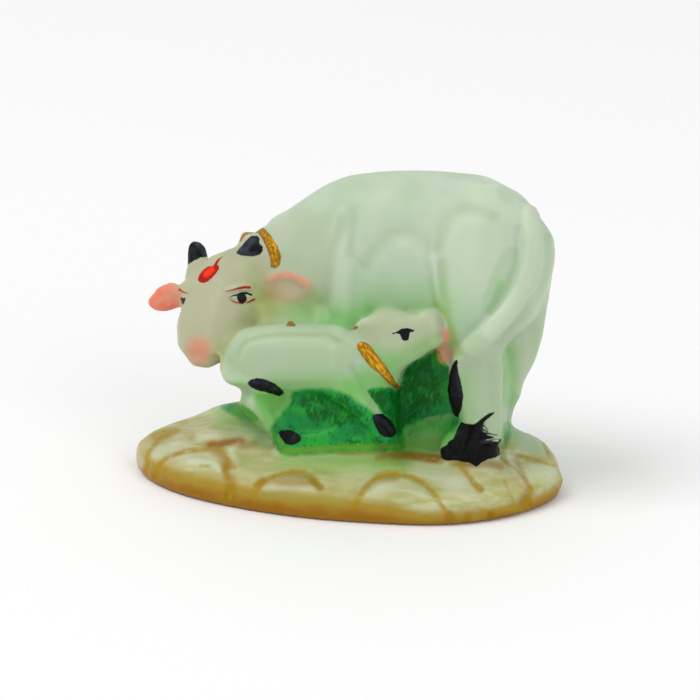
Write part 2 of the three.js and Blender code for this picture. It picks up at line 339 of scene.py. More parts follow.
class Skin:
    """The surface of one closed mesh, in millimetres, with the moves a modeller makes on it."""

    def __init__(self, piece: bpy.types.Object) -> None:
        """Reads the mesh.

        Args:
            piece: The object.
        """
        self.mesh = piece.data
        self.count = len(self.mesh.vertices)
        places = np.empty(self.count * 3, np.float32)
        self.mesh.vertices.foreach_get("co", places)
        self.places = places.reshape(-1, 3).astype(float) / MM
        edges = np.empty(len(self.mesh.edges) * 2, np.int32)
        self.mesh.edges.foreach_get("vertices", edges)
        self.first, self.second = edges.reshape(-1, 2).T
        self.valence = np.bincount(edges, minlength=self.count).astype(float)

    def gather(self, values: np.ndarray) -> np.ndarray:
        """Gives the mean of each vertex's neighbours.

        Args:
            values: One row for each vertex.

        Returns:
            The means, one row for each vertex.
        """
        columns = []
        for column in values.reshape(self.count, -1).T:
            total = np.bincount(self.first, column[self.second], self.count)
            total += np.bincount(self.second, column[self.first], self.count)
            columns.append(total / self.valence)
        return np.stack(columns, axis=1).reshape(values.shape)

    def blur(self, values: np.ndarray, rounds: int) -> np.ndarray:
        """Spreads a value over the surface by repeated means.

        Args:
            values: One row for each vertex.
            rounds: How often each is averaged with its neighbours.

        Returns:
            The spread values.
        """
        for _ in range(rounds):
            values = (values + self.gather(values)) / 2
        return values

    def normals(self) -> np.ndarray:
        """Gives the outward direction at each vertex.

        Returns:
            One direction for each vertex.
        """
        self.save()
        result = np.empty(self.count * 3, np.float32)
        self.mesh.vertex_normals.foreach_get("vector", result)
        return result.reshape(-1, 3).astype(float)

    def relax(self, rounds: int, share: np.ndarray | float = 1.0) -> None:
        """Evens the surface out.

        Args:
            rounds: How many times every vertex moves halfway to its neighbours' mean.
            share: How much of the move each vertex makes.
        """
        weight = np.broadcast_to(np.asarray(share, float), self.count)[:, None] / 2
        for _ in range(rounds):
            self.places += (self.gather(self.places) - self.places) * weight

    def push(self, amount: np.ndarray | float) -> None:
        """Moves the surface outwards.

        Args:
            amount: How far each vertex goes, below zero for inwards.
        """
        self.places += self.normals() * np.broadcast_to(np.asarray(amount, float), self.count)[:, None]

    def save(self) -> None:
        """Writes the places back to the mesh."""
        self.mesh.vertices.foreach_set("co", (self.places * MM).astype(np.float32).ravel())
        self.mesh.update()

    def store(self, name: str, values: np.ndarray) -> None:
        """Keeps one number for each vertex as an attribute that a material can read.

        Args:
            name: The attribute's name.
            values: The numbers.
        """
        layer = self.mesh.attributes.new(name, "FLOAT", "POINT")
        layer.data.foreach_set("value", values.astype(np.float32))


@dataclass
class Sight:
    """What the reference view sees of a skin."""

    skin: Skin
    cell: float = 3.0
    allowance: float = 1.6
    overlap: int = 3
    wash_spread: int = 8
    pull_fade: float = 3.0
    cells: int = 1000
    edge_on: float = -0.05
    grazing: Point = (-0.1, 0.3)
    pixels: np.ndarray = field(init=False)
    nearness: np.ndarray = field(init=False)
    seen: np.ndarray = field(init=False)
    facing: np.ndarray = field(init=False)
    painted: np.ndarray = field(init=False)
    washed: np.ndarray = field(init=False)
    calf: np.ndarray = field(init=False)

    def __post_init__(self) -> None:
        """Projects the skin and finds which of its vertices nothing stands before."""
        self.pixels, self.nearness = SIGHT.project(self.skin.places)
        cells = np.clip((self.pixels / self.cell).astype(int), 0, self.cells - 1)
        index = cells[:, 0] * self.cells + cells[:, 1]
        nearest = np.full(self.cells ** 2, -np.inf)
        np.maximum.at(nearest, index, self.nearness)
        towards = self.skin.normals() @ SIGHT.axes()[2]
        self.seen = (self.nearness > nearest[index] - self.allowance) & (towards > self.edge_on)
        self.facing = soft_step(*self.grazing, towards) * self.seen
        spread = self.seen.astype(float)
        for _ in range(self.overlap):
            spread = np.maximum(spread, self.skin.gather(spread) > 0)
        self.painted = self.skin.blur(spread, 1)
        self.washed = self.skin.blur(spread, self.wash_spread)
        self.calf = np.zeros(self.skin.count)
        self.calf = self.cover(CALF_OUTLINE, self.painted)

    def near(self, mark: Mark, margin: float) -> np.ndarray:
        """Finds the vertices that a mark may reach.

        Args:
            mark: The mark.
            margin: How far around it to look, in pixels.

        Returns:
            Their indices.
        """
        corners = np.array(mark.points)
        margin += max(mark.widths()) if isinstance(mark, Stroke) else 0.0
        low, high = corners.min(axis=0) - margin, corners.max(axis=0) + margin
        return np.flatnonzero(np.all((self.pixels > low) & (self.pixels < high), axis=1))

    def within_depth(self, mark: "Mark | Pull | Rub", near: np.ndarray, fade: float = 0.6) -> np.ndarray:
        """Fades a mark out before and behind the surface that it lies on.

        Args:
            mark: The mark or pull.
            near: The vertices to look at.
            fade: Over how many millimetres it fades.

        Returns:
            How much of it each vertex takes, 0 to 1.
        """
        farthest, nearest = mark.between
        nearness = self.nearness[near]
        return soft_step(farthest - fade, farthest, nearness) * soft_step(nearest + fade, nearest, nearness)

    def cover(self, mark: Mark, veil: np.ndarray) -> np.ndarray:
        """Gives the mark's strength at each vertex, fading over its soft edge.

        Args:
            mark: The mark.
            veil: How far each vertex takes marks at all.

        Returns:
            Its strength, 0 to 1.
        """
        result = np.zeros(self.skin.count)
        near = self.near(mark, mark.soft)
        strength = soft_step(-mark.soft, 0.0, mark.depth(self.pixels[near]))
        if mark.off_calf:
            strength *= 1 - self.calf[near]
        result[near] = strength * self.within_depth(mark, near) * veil[near]
        return result

    def grab(self, pulls: tuple[Pull, ...]) -> None:
        """Draws parts of the skin across and along the line of sight.

        Args:
            pulls: The pulls, in pixels.
        """
        right, up, back = SIGHT.axes()
        for pull in pulls:
            away = np.linalg.norm((self.pixels - pull.centre) / pull.radii, axis=1)
            near = np.flatnonzero(away < 1.0)
            share = soft_step(1.0, 0.0, away[near]) * self.within_depth(pull, near, self.pull_fade)
            move = (right * pull.move[0] - up * pull.move[1] + back * pull.move[2]) / SIGHT.scale()
            self.skin.places[near] += share[:, None] * move
        self.skin.save()

    def fill(self, fills: tuple[Fill, ...]) -> None:
        """Fills hollows in up to a slope.

        Args:
            fills: The fills.
        """
        for fill in fills:
            (top, near_top), (foot, near_foot) = fill.top, fill.foot
            share = np.clip((self.pixels[:, 1] - top) / (foot - top), 0.0, 1.0)
            lack = np.clip(near_top + (near_foot - near_top) * share - self.nearness, 0.0, None)
            rise = self.cover(fill.area, np.ones(self.skin.count)) * lack
            self.skin.places += rise[:, None] * SIGHT.axes()[2]
            self.nearness += rise
        self.skin.save()

    def rub(self, rubs: tuple[Rub, ...]) -> None:
        """Rubs places smooth.

        Args:
            rubs: The places.
        """
        everywhere = np.arange(self.skin.count)
        for rub in rubs:
            away = np.linalg.norm((self.pixels - rub.centre) / rub.radii, axis=1)
            share = soft_step(1.0, 0.5, away) * self.within_depth(rub, everywhere)
            self.skin.relax(rub.rounds, share)
        self.skin.save()

    def carve(self, marks: tuple[Mark, ...], ease: int = 2) -> None:
        """Raises and sinks the skin along marks.

        Args:
            marks: The marks, whose amounts are heights in millimetres.
            ease: How many times the heights are spread, so that no step is sharp.
        """
        height = np.zeros(self.skin.count)
        for mark in marks:
            height += mark.amount * self.cover(mark, self.facing)
        self.skin.push(self.skin.blur(height, ease))


# Pulls that bring the forms to their outlines.
PULLS: tuple[Pull, ...] = (
    # The back, the rump, its rear edge and the far hind leg.
    Pull((500, 182), (50, 26), (1, -2.5, 0)),
    Pull((458, 177), (74, 24), (0, -5.5, 0)),
    Pull((400, 172), (70, 22), (0, -1.5, 0)),
    Pull((340, 190), (40, 22), (-1, -1, 0)),
    Pull((541, 206), (30, 34), (-3, 2, 0)),
    Pull((553, 262), (24, 50), (4, 0, 0)),
    Pull((512, 412), (14, 22), (-3.5, 0, 0), FAR_LEG),
    Pull((525, 380), (18, 24), (-2.5, 0, 0), FAR_LEG),
    Pull((505, 448), (10, 15), (-5, 0, 0), (-4, 99)),
    # The ground behind the figures.
    Pull((537, 436), (36, 26), (4, -13, 0), FAR_LEG),
    Pull((551, 450), (24, 26), (3, -5, 0), FAR_LEG),
    Pull((512, 424), (10, 10), (-2, 2, 0), FAR_LEG),
    Pull((220, 403), (48, 20), (-1, -8, 0), FAR_GROUND),
    Pull((140, 448), (18, 28), (-2, -1, 0)),
    # The calf's rump above its leg, and its muzzle.
    Pull((237, 393), (20, 15), (12, -6, 0)),
    Pull((247, 404), (16, 14), (3, 0, 0)),
    Pull((447, 331), (12, 16), (-5, 0, 0), (12, 99)),
    # The cow's face, her horns, her far ear and the nape.
    Pull((178, 332), (16, 40), (-2, 0, 0)),
    Pull((188, 360), (14, 16), (-3, 2.5, 0)),
    Pull((180, 346), (10, 9), (-3, -0.5, 0)),
    Pull((187, 355), (8, 6), (2, 0, 0)),
    Pull((192, 366), (10, 8), (-2, 1.5, 0)),
    Pull((200, 367), (18, 12), (0, 1, 0)),
    Pull((219, 364), (12, 12), (2, -4, 0), (-99, 1)),
    Pull((215, 253), (26, 16), (0, -8, 0)),
    Pull((196, 245), (13, 12), (0, -3, 0), (-99, -6)),
    Pull((242, 234), (20, 17), (-4, -8.5, 0)),
    Pull((276, 222), (26, 14), (0, -4.5, 0)),
    Pull((189, 246), (14, 22), (-3, -2, 0)),
    Pull((190, 274), (14, 12), (-3, 0, 0), (-99, -6)),
    Pull((188, 283), (14, 10), (-7, 1, 0), (-99, -2)),
    Pull((152, 303), (24, 22), (-7, 2, 0)),
    Pull((154, 310), (16, 12), (-2.5, 2.5, 0)),
    Pull((152, 290), (14, 12), (1, 0.8, 0)),
    Pull((168, 312), (24, 12), (0, 4, 0)),
    Pull((166, 284), (24, 12), (0, -4, 0)),
    # The neck comes forward below the ear, down to the calf's back.
    Pull((298, 334), (64, 46), (0, 0, 22), (-99, 0.6)),
    # The crease where the bank meets the ground before it.
    Pull((340, 460), (76, 16), (0, -8, 0)),
)

# The neck and the belly run into the calf's back without a gap.
FILLS: tuple[Fill, ...] = (
    Fill(Patch("266,306 300,300 340,306 350,340 300,342 266,340", 1.0, 14, (-6, 99), True),
         (296, -1.0), (328, 4.3)),
    Fill(Patch("318,312 338,312 342,336 316,336", 1.0, 10, (-6, 99), True), (300, 3.0), (326, 5.2)),
)
RUBS: tuple[Rub, ...] = (
    Rub((163, 298), (28, 24), 8, FAR_EAR),
    Rub((259, 396), (16, 8), 16),
    Rub((232, 246), (22, 14), 3),
    Rub((286, 216), (20, 14), 8),
    Rub((540, 212), (34, 34), 20),
)

# The arch of the cow's belly, and the ledge along the calf's back, inside its outline.
BELLY_ARCH = "366,266 370,257 382,243 393,234 409,232 421,238 431,247"
CALF_LEDGE = "239,356 241,346 248,340 260,336 276,334 309,334 330,334 341,341"

# Relief on the cow's near side.
COW_FOLDS: tuple[Mark, ...] = (
    # The upright fold of the shoulder and its two grooves.
    Stroke("343,216 340,240 340,280 341,322", 4, 0.5, 13),
    Stroke("354,212 351,231 349,256", 1, -0.3, 8),
    Stroke("344,224 333,249 330,275 327,300", 1, -0.4, 9),
    Stroke("354,255 361,263 366,266", 0.5, -0.3, 3),
    # The arch of the belly.
    Stroke(BELLY_ARCH, 1, -0.3, 12),
    Patch("376,272 388,256 399,248 412,248 424,258 430,284 432,312 370,318", 0.4, 22),
    # The arch of the thigh, and the fold in front of it.
    Stroke("438,250 441,236 444,226 451,215 463,208 479,209 495,216", 1, -0.28, 12),
    Patch("453,250 460,232 471,225 485,228 493,247 486,280 474,312 460,318", 0.45, 22),
    Stroke("432,247 435,262 438,282 441,301 447,322", 1, 0.35, 4),
    Stroke("428,252 431,282 434,300", 1, -0.25, 5),
    # The tail across the thigh, its bed, and the hollow in front of it.
    Stroke("530,214 533,240 532,262 524,286 509,310 489,332 470,346", 6, 0.55, 5),
    Stroke("518,228 516,262 507,286 492,309 470,330 456,345", 1, -0.4, 4),
    Stroke("547,236 547,264 541,288 526,312 510,330 500,343", 1, -0.4, 4),
    Stroke("501,193 509,201", 1, -0.14, 5),
    # The near shank's hock and tendon.
    Stroke("496,348 502,360 504,376", 2, 0.35, 6),
    Stroke("490,366 494,392 495,415", 1, -0.2, 5),
)
TAIL_HOLLOW = Patch("513,249 518,254 517,268 508,288 496,307 488,313 484,309 486,298 493,279 503,259",
                    -0.3, 4.5)
HOOF_FOLDS: tuple[Mark, ...] = (
    Stroke("478,424 475,438 469,455", 1.5, 0.7, 5),
    Stroke("467,428 463,442 457,456", 1, -0.8, 4),
    Stroke("485,446 481,458 475,466", 0.8, -0.5, 3.5),
    Stroke("486,441 499,440", 1.2, 0.45, 3.5),
    Stroke("486,417 480,424 478,434", 0.8, 0.3, 3),
    Stroke("446,444 452,452 450,460", 0.8, -0.4, 3),
)

# Relief on the calf and the bank behind it.
CALF_FOLDS: tuple[Mark, ...] = (
    # The soft ledge and the flank below it.
    Stroke(CALF_LEDGE, 0.5, -0.22, 4),
    Patch("243,356 250,346 276,341 325,341 336,350 332,378 260,378", 0.3, 8),
    # The shoulder and the upper foreleg.
    Stroke("338,352 342,375 356,396 370,408", 5, 0.35, 8),
    Stroke("352,368 362,388 372,405", 1, -0.3, 5),
    # The tail's root along the rump.
    Stroke("224,366 228,378 240,384 252,386", 1.5, 0.3, 4),
    # The cheek, the brow and the mouth.
    Stroke("372,322 386,318 400,320", 3, 0.2, 5),
    Stroke("425,316 434,318 437,326", 3, 0.25, 5),
    Stroke("443,334 432,338 424,344", 0.5, -0.3, 3),
    Patch("385,344 402,346 412,356 402,366 388,358", 0.3, 8),
    # The hind leg's thigh over the bank.
    Stroke("250,400 262,412 276,424", 3, 0.3, 6),
    Stroke("284,398 274,410 278,422", 1, -0.3, 5),
    # The crease between the bank and the web beside it.
    Stroke("401,390 401,412 400,440", 0.5, -0.5, 4),
    # The smooth swell along the bank's foot.
    Stroke("300,438 322,435 345,430 362,421", 1.5, 0.32, 5),
    Stroke("300,430 322,427 345,421", 1, -0.22, 4),
)
TEATS: tuple[Mark, ...] = (
    Patch("441,331 446,328 449,336 447,342 442,341", 0.35, 3),
    Patch("437,349 445,346 450,352 447,361 440,361", 0.35, 3),
)
COLLAR_RELIEF: tuple[Mark, ...] = (
    Stroke("261,230 268,237 274,249 275,262", 2.5, 0.35, 2.5, 3.5),
    Stroke("360,345 368,356 379,368 391,380 398,387", 3.5, 0.4, 2.5, 2),
)

# Relief on the rocky base: low lobes, their lips and brushed grooves.
BASE_FOLDS: tuple[Mark, ...] = (
    Stroke("150,432 165,431 176,431 200,434 222,437", 1.5, 0.3, 5),
    Stroke("176,432 160,438 149,452 147,466", 1, -0.3, 4),
    Stroke("214,444 186,450 166,457 158,464 157,478", 1, -0.3, 4),
    Stroke("220,451 228,460 227,472 231,484 229,496", 1, -0.3, 4),
    Stroke("256,437 242,443 231,454 236,469 256,477", 1, 0.3, 4),
    Stroke("183,467 200,463 218,466", 2, 0.35, 6),
    Stroke("256,486 264,480 277,475 291,472 303,472 312,477 320,486", 1, -0.25, 4),
    Patch("264,487 277,481 291,478 303,478 312,486", 0.3, 5),
    Stroke("356,504 362,494 368,484 376,478 388,474 402,474 413,477 425,484 434,494 441,505", 1, -0.25, 4),
    Patch("371,488 382,482 400,481 414,486 424,496 366,497", 0.35, 7),
    Stroke("451,461 464,470 475,485 481,490", 1, -0.25, 4),
    Stroke("504,453 513,469 523,484", 1, 0.4, 4),
    Stroke("512,459 525,478 531,491 524,506", 1, -0.35, 4),
    Stroke("517,455 538,461 556,467", 1, -0.25, 4),
    Stroke("544,441 547,453", 1, -0.25, 4),
    Stroke("535,484 550,482 561,480", 1, 0.25, 4),
)

# Relief on the cow's face.
FACE_FOLDS: tuple[Mark, ...] = (
    Stroke("227,289 238,286 250,287", 1.5, 0.22, 4),
    Stroke("233,298 241,297 248,298", 2, 0.16, 3),
    Stroke("229,299 236,303 243,305 252,302", 0.5, -0.14, 2.5),
    Stroke("232,293 241,290.5 251,292", 0.5, -0.1, 2),
    Stroke("214,300 211,318 209,335", 3, 0.2, 9),
    Stroke("180,345 186,351 194,356", 1, -0.4, 4),
    Stroke("190,361 204,361 216,356", 0.5, -0.2, 3),
    Stroke("218,346 221,351", 0.5, -0.35, 3),
)
NEAR_EAR: tuple[Mark, ...] = (
    Patch("268,280 282,273 298,277 310,285 304,292 288,298 272,295", 0.26, 9),
    Stroke("271,279 282,273.5 295,276.5 309,284.5", 1.2, 0.35, 3.5),
    Patch("276,284 284,281 296,285 299,289 288,292 278,291", -0.16, 6),
)


def box(left: float, top: float, right: float, bottom: float) -> Patch:
    """Makes an upright rectangle."""
    return Patch(f"{left},{top} {right},{top} {right},{bottom} {left},{bottom}")


# Areas of the mesh that carry fine brush marks.
FINE_AREAS: tuple[Mark, ...] = (
    box(222, 283, 259, 308),
    box(176, 286, 192, 308),
    box(194, 253, 227, 287),
    box(387, 324, 419, 345),
    box(478, 408, 506, 447),
    Stroke("361,346 379,366 398,387", 9),
    Stroke("260,231 272,246 277,263", 8),
)


def apply_modifier(piece: bpy.types.Object, kind: str, **settings: float | str | bool) -> None:
    """Adds a modifier and applies it at once.

    Args:
        piece: The object that it shapes.
        kind: The modifier's type.
        settings: Its settings by name.
    """
    only_selected(piece)
    modifier = piece.modifiers.new(kind.title(), kind)
    for name, value in settings.items():
        setattr(modifier, name, value)
    bpy.ops.object.modifier_apply(modifier=modifier.name)


def only_selected(piece: bpy.types.Object) -> None:
    """Selects one object alone and makes it the active one.

    Args:
        piece: The object.
    """
    bpy.ops.object.select_all(action="DESELECT")
    piece.select_set(True)
    bpy.context.view_layer.objects.active = piece


@dataclass
class Casting:
    """The whole casting: cow, calf, bank and base as one skin."""

    voxel: float = 0.49
    fine_rounds: int = 6
    soft_rounds: int = 24
    regrown_rounds: int = 2
    facet_depth: float = 0.09
    form_depth: float = 0.24
    keep_spread: int = 6
    last_rounds: int = 2
    foot_height: float = 0.12
    cuts: int = 3

    def build(self) -> bpy.types.Object:
        """Makes the casting from a copy of the CAD solid.

        Returns:
            The finished object.
        """
        piece = self.copy_of_node()
        skin = self.remesh(piece)
        self.soften(skin)
        Sight(skin).grab(PULLS)
        Sight(skin).fill(FILLS)
        skin = self.remesh(piece)
        skin.relax(self.regrown_rounds)
        Sight(skin).rub(RUBS)
        sight = Sight(skin)
        sight.carve(COW_FOLDS + CALF_FOLDS + TEATS + BASE_FOLDS + NEAR_EAR)
        sight.carve((TAIL_HOLLOW,) + COLLAR_RELIEF, ease=1)
        skin.save()
        self.refine(piece, sight)
        skin = Skin(piece)
        Sight(skin).carve(FACE_FOLDS + HOOF_FOLDS)
        self.settle(skin)
        skin.save()
        only_selected(piece)
        bpy.ops.object.shade_smooth()
        return piece

    def copy_of_node(self) -> bpy.types.Object:
        """Copies the CAD node's mesh and merges its loose triangles.

        Returns:
            The copy.
        """
        piece = bpy.data.objects.new("painted_casting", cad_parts[NODE].data.copy())
        bpy.context.scene.collection.objects.link(piece)
        piece.data.materials.clear()
        only_selected(piece)
        bpy.ops.object.mode_set(mode="EDIT")
        bpy.ops.mesh.select_all(action="SELECT")
        bpy.ops.mesh.remove_doubles(threshold=1e-7)
        bpy.ops.object.mode_set(mode="OBJECT")
        return piece

    def remesh(self, piece: bpy.types.Object) -> Skin:
        """Gives the object one even closed skin, in which touching forms have grown together."""
        apply_modifier(piece, "REMESH", mode="VOXEL", voxel_size=self.voxel * MM)
        return Skin(piece)

    def soften(self, skin: Skin) -> None:
        """Melts the solid's flats into round forms and keeps its small features.

        Args:
            skin: The casting's surface.
        """
        skin.relax(self.fine_rounds)
        fine = skin.places.copy()
        skin.relax(self.soft_rounds)
        melted = np.linalg.norm(skin.places - fine, axis=1)
        keep = skin.blur(soft_step(self.facet_depth, self.form_depth, melted), self.keep_spread)
        skin.places += (fine - skin.places) * keep[:, None]
        skin.relax(self.last_rounds)

    def refine(self, piece: bpy.types.Object, sight: Sight) -> None:
        """Divides the faces that carry fine brush marks.

        Args:
            piece: The casting.
            sight: What the reference view sees of it.
        """
        wanted = np.zeros(sight.skin.count, bool)
        for area in FINE_AREAS:
            wanted |= (area.depth(sight.pixels) > 0) & sight.seen
        for face in piece.data.polygons:
            face.select = all(wanted[corner] for corner in face.vertices)
        only_selected(piece)
        bpy.ops.object.mode_set(mode="EDIT")
        bpy.context.tool_settings.mesh_select_mode = (False, False, True)
        bpy.ops.mesh.subdivide(number_cuts=self.cuts, smoothness=0.0)
        bpy.ops.object.mode_set(mode="OBJECT")

    def settle(self, skin: Skin) -> None:
        """Lays the underside flat on the ground again and keeps the skin in the CAD box.

        Args:
            skin: The casting's surface.
        """
        low, high = np.array(CAD_BOX[0]) / MM, np.array(CAD_BOX[1]) / MM
        skin.places[skin.places[:, 2] < self.foot_height, 2] = 0.0
        skin.places = np.clip(skin.places, low, high)


class Layer(Enum):
    """The coats of paint, from the bottom up, painted highlights and painted shade among them; each is kept
    as an attribute of this name.
    """

    CREAM = "cream"
    PALE_AND_HIGHLIGHT = "pale_and_highlight"
    OLIVE_AND_SHADE = "olive_and_shade"
    LEAF = "leaf"
    GROUND = "ground"
    OCHRE = "ochre"
    GREEN = "green"
    DEEP = "deep"
    MOSS = "moss"
    PINK = "pink"
    BROWN = "brown"
    GOLD = "gold"
    BLACK = "black"
    GLINT = "glint"
    RED = "red"
    ORANGE = "orange"
    INK = "ink"


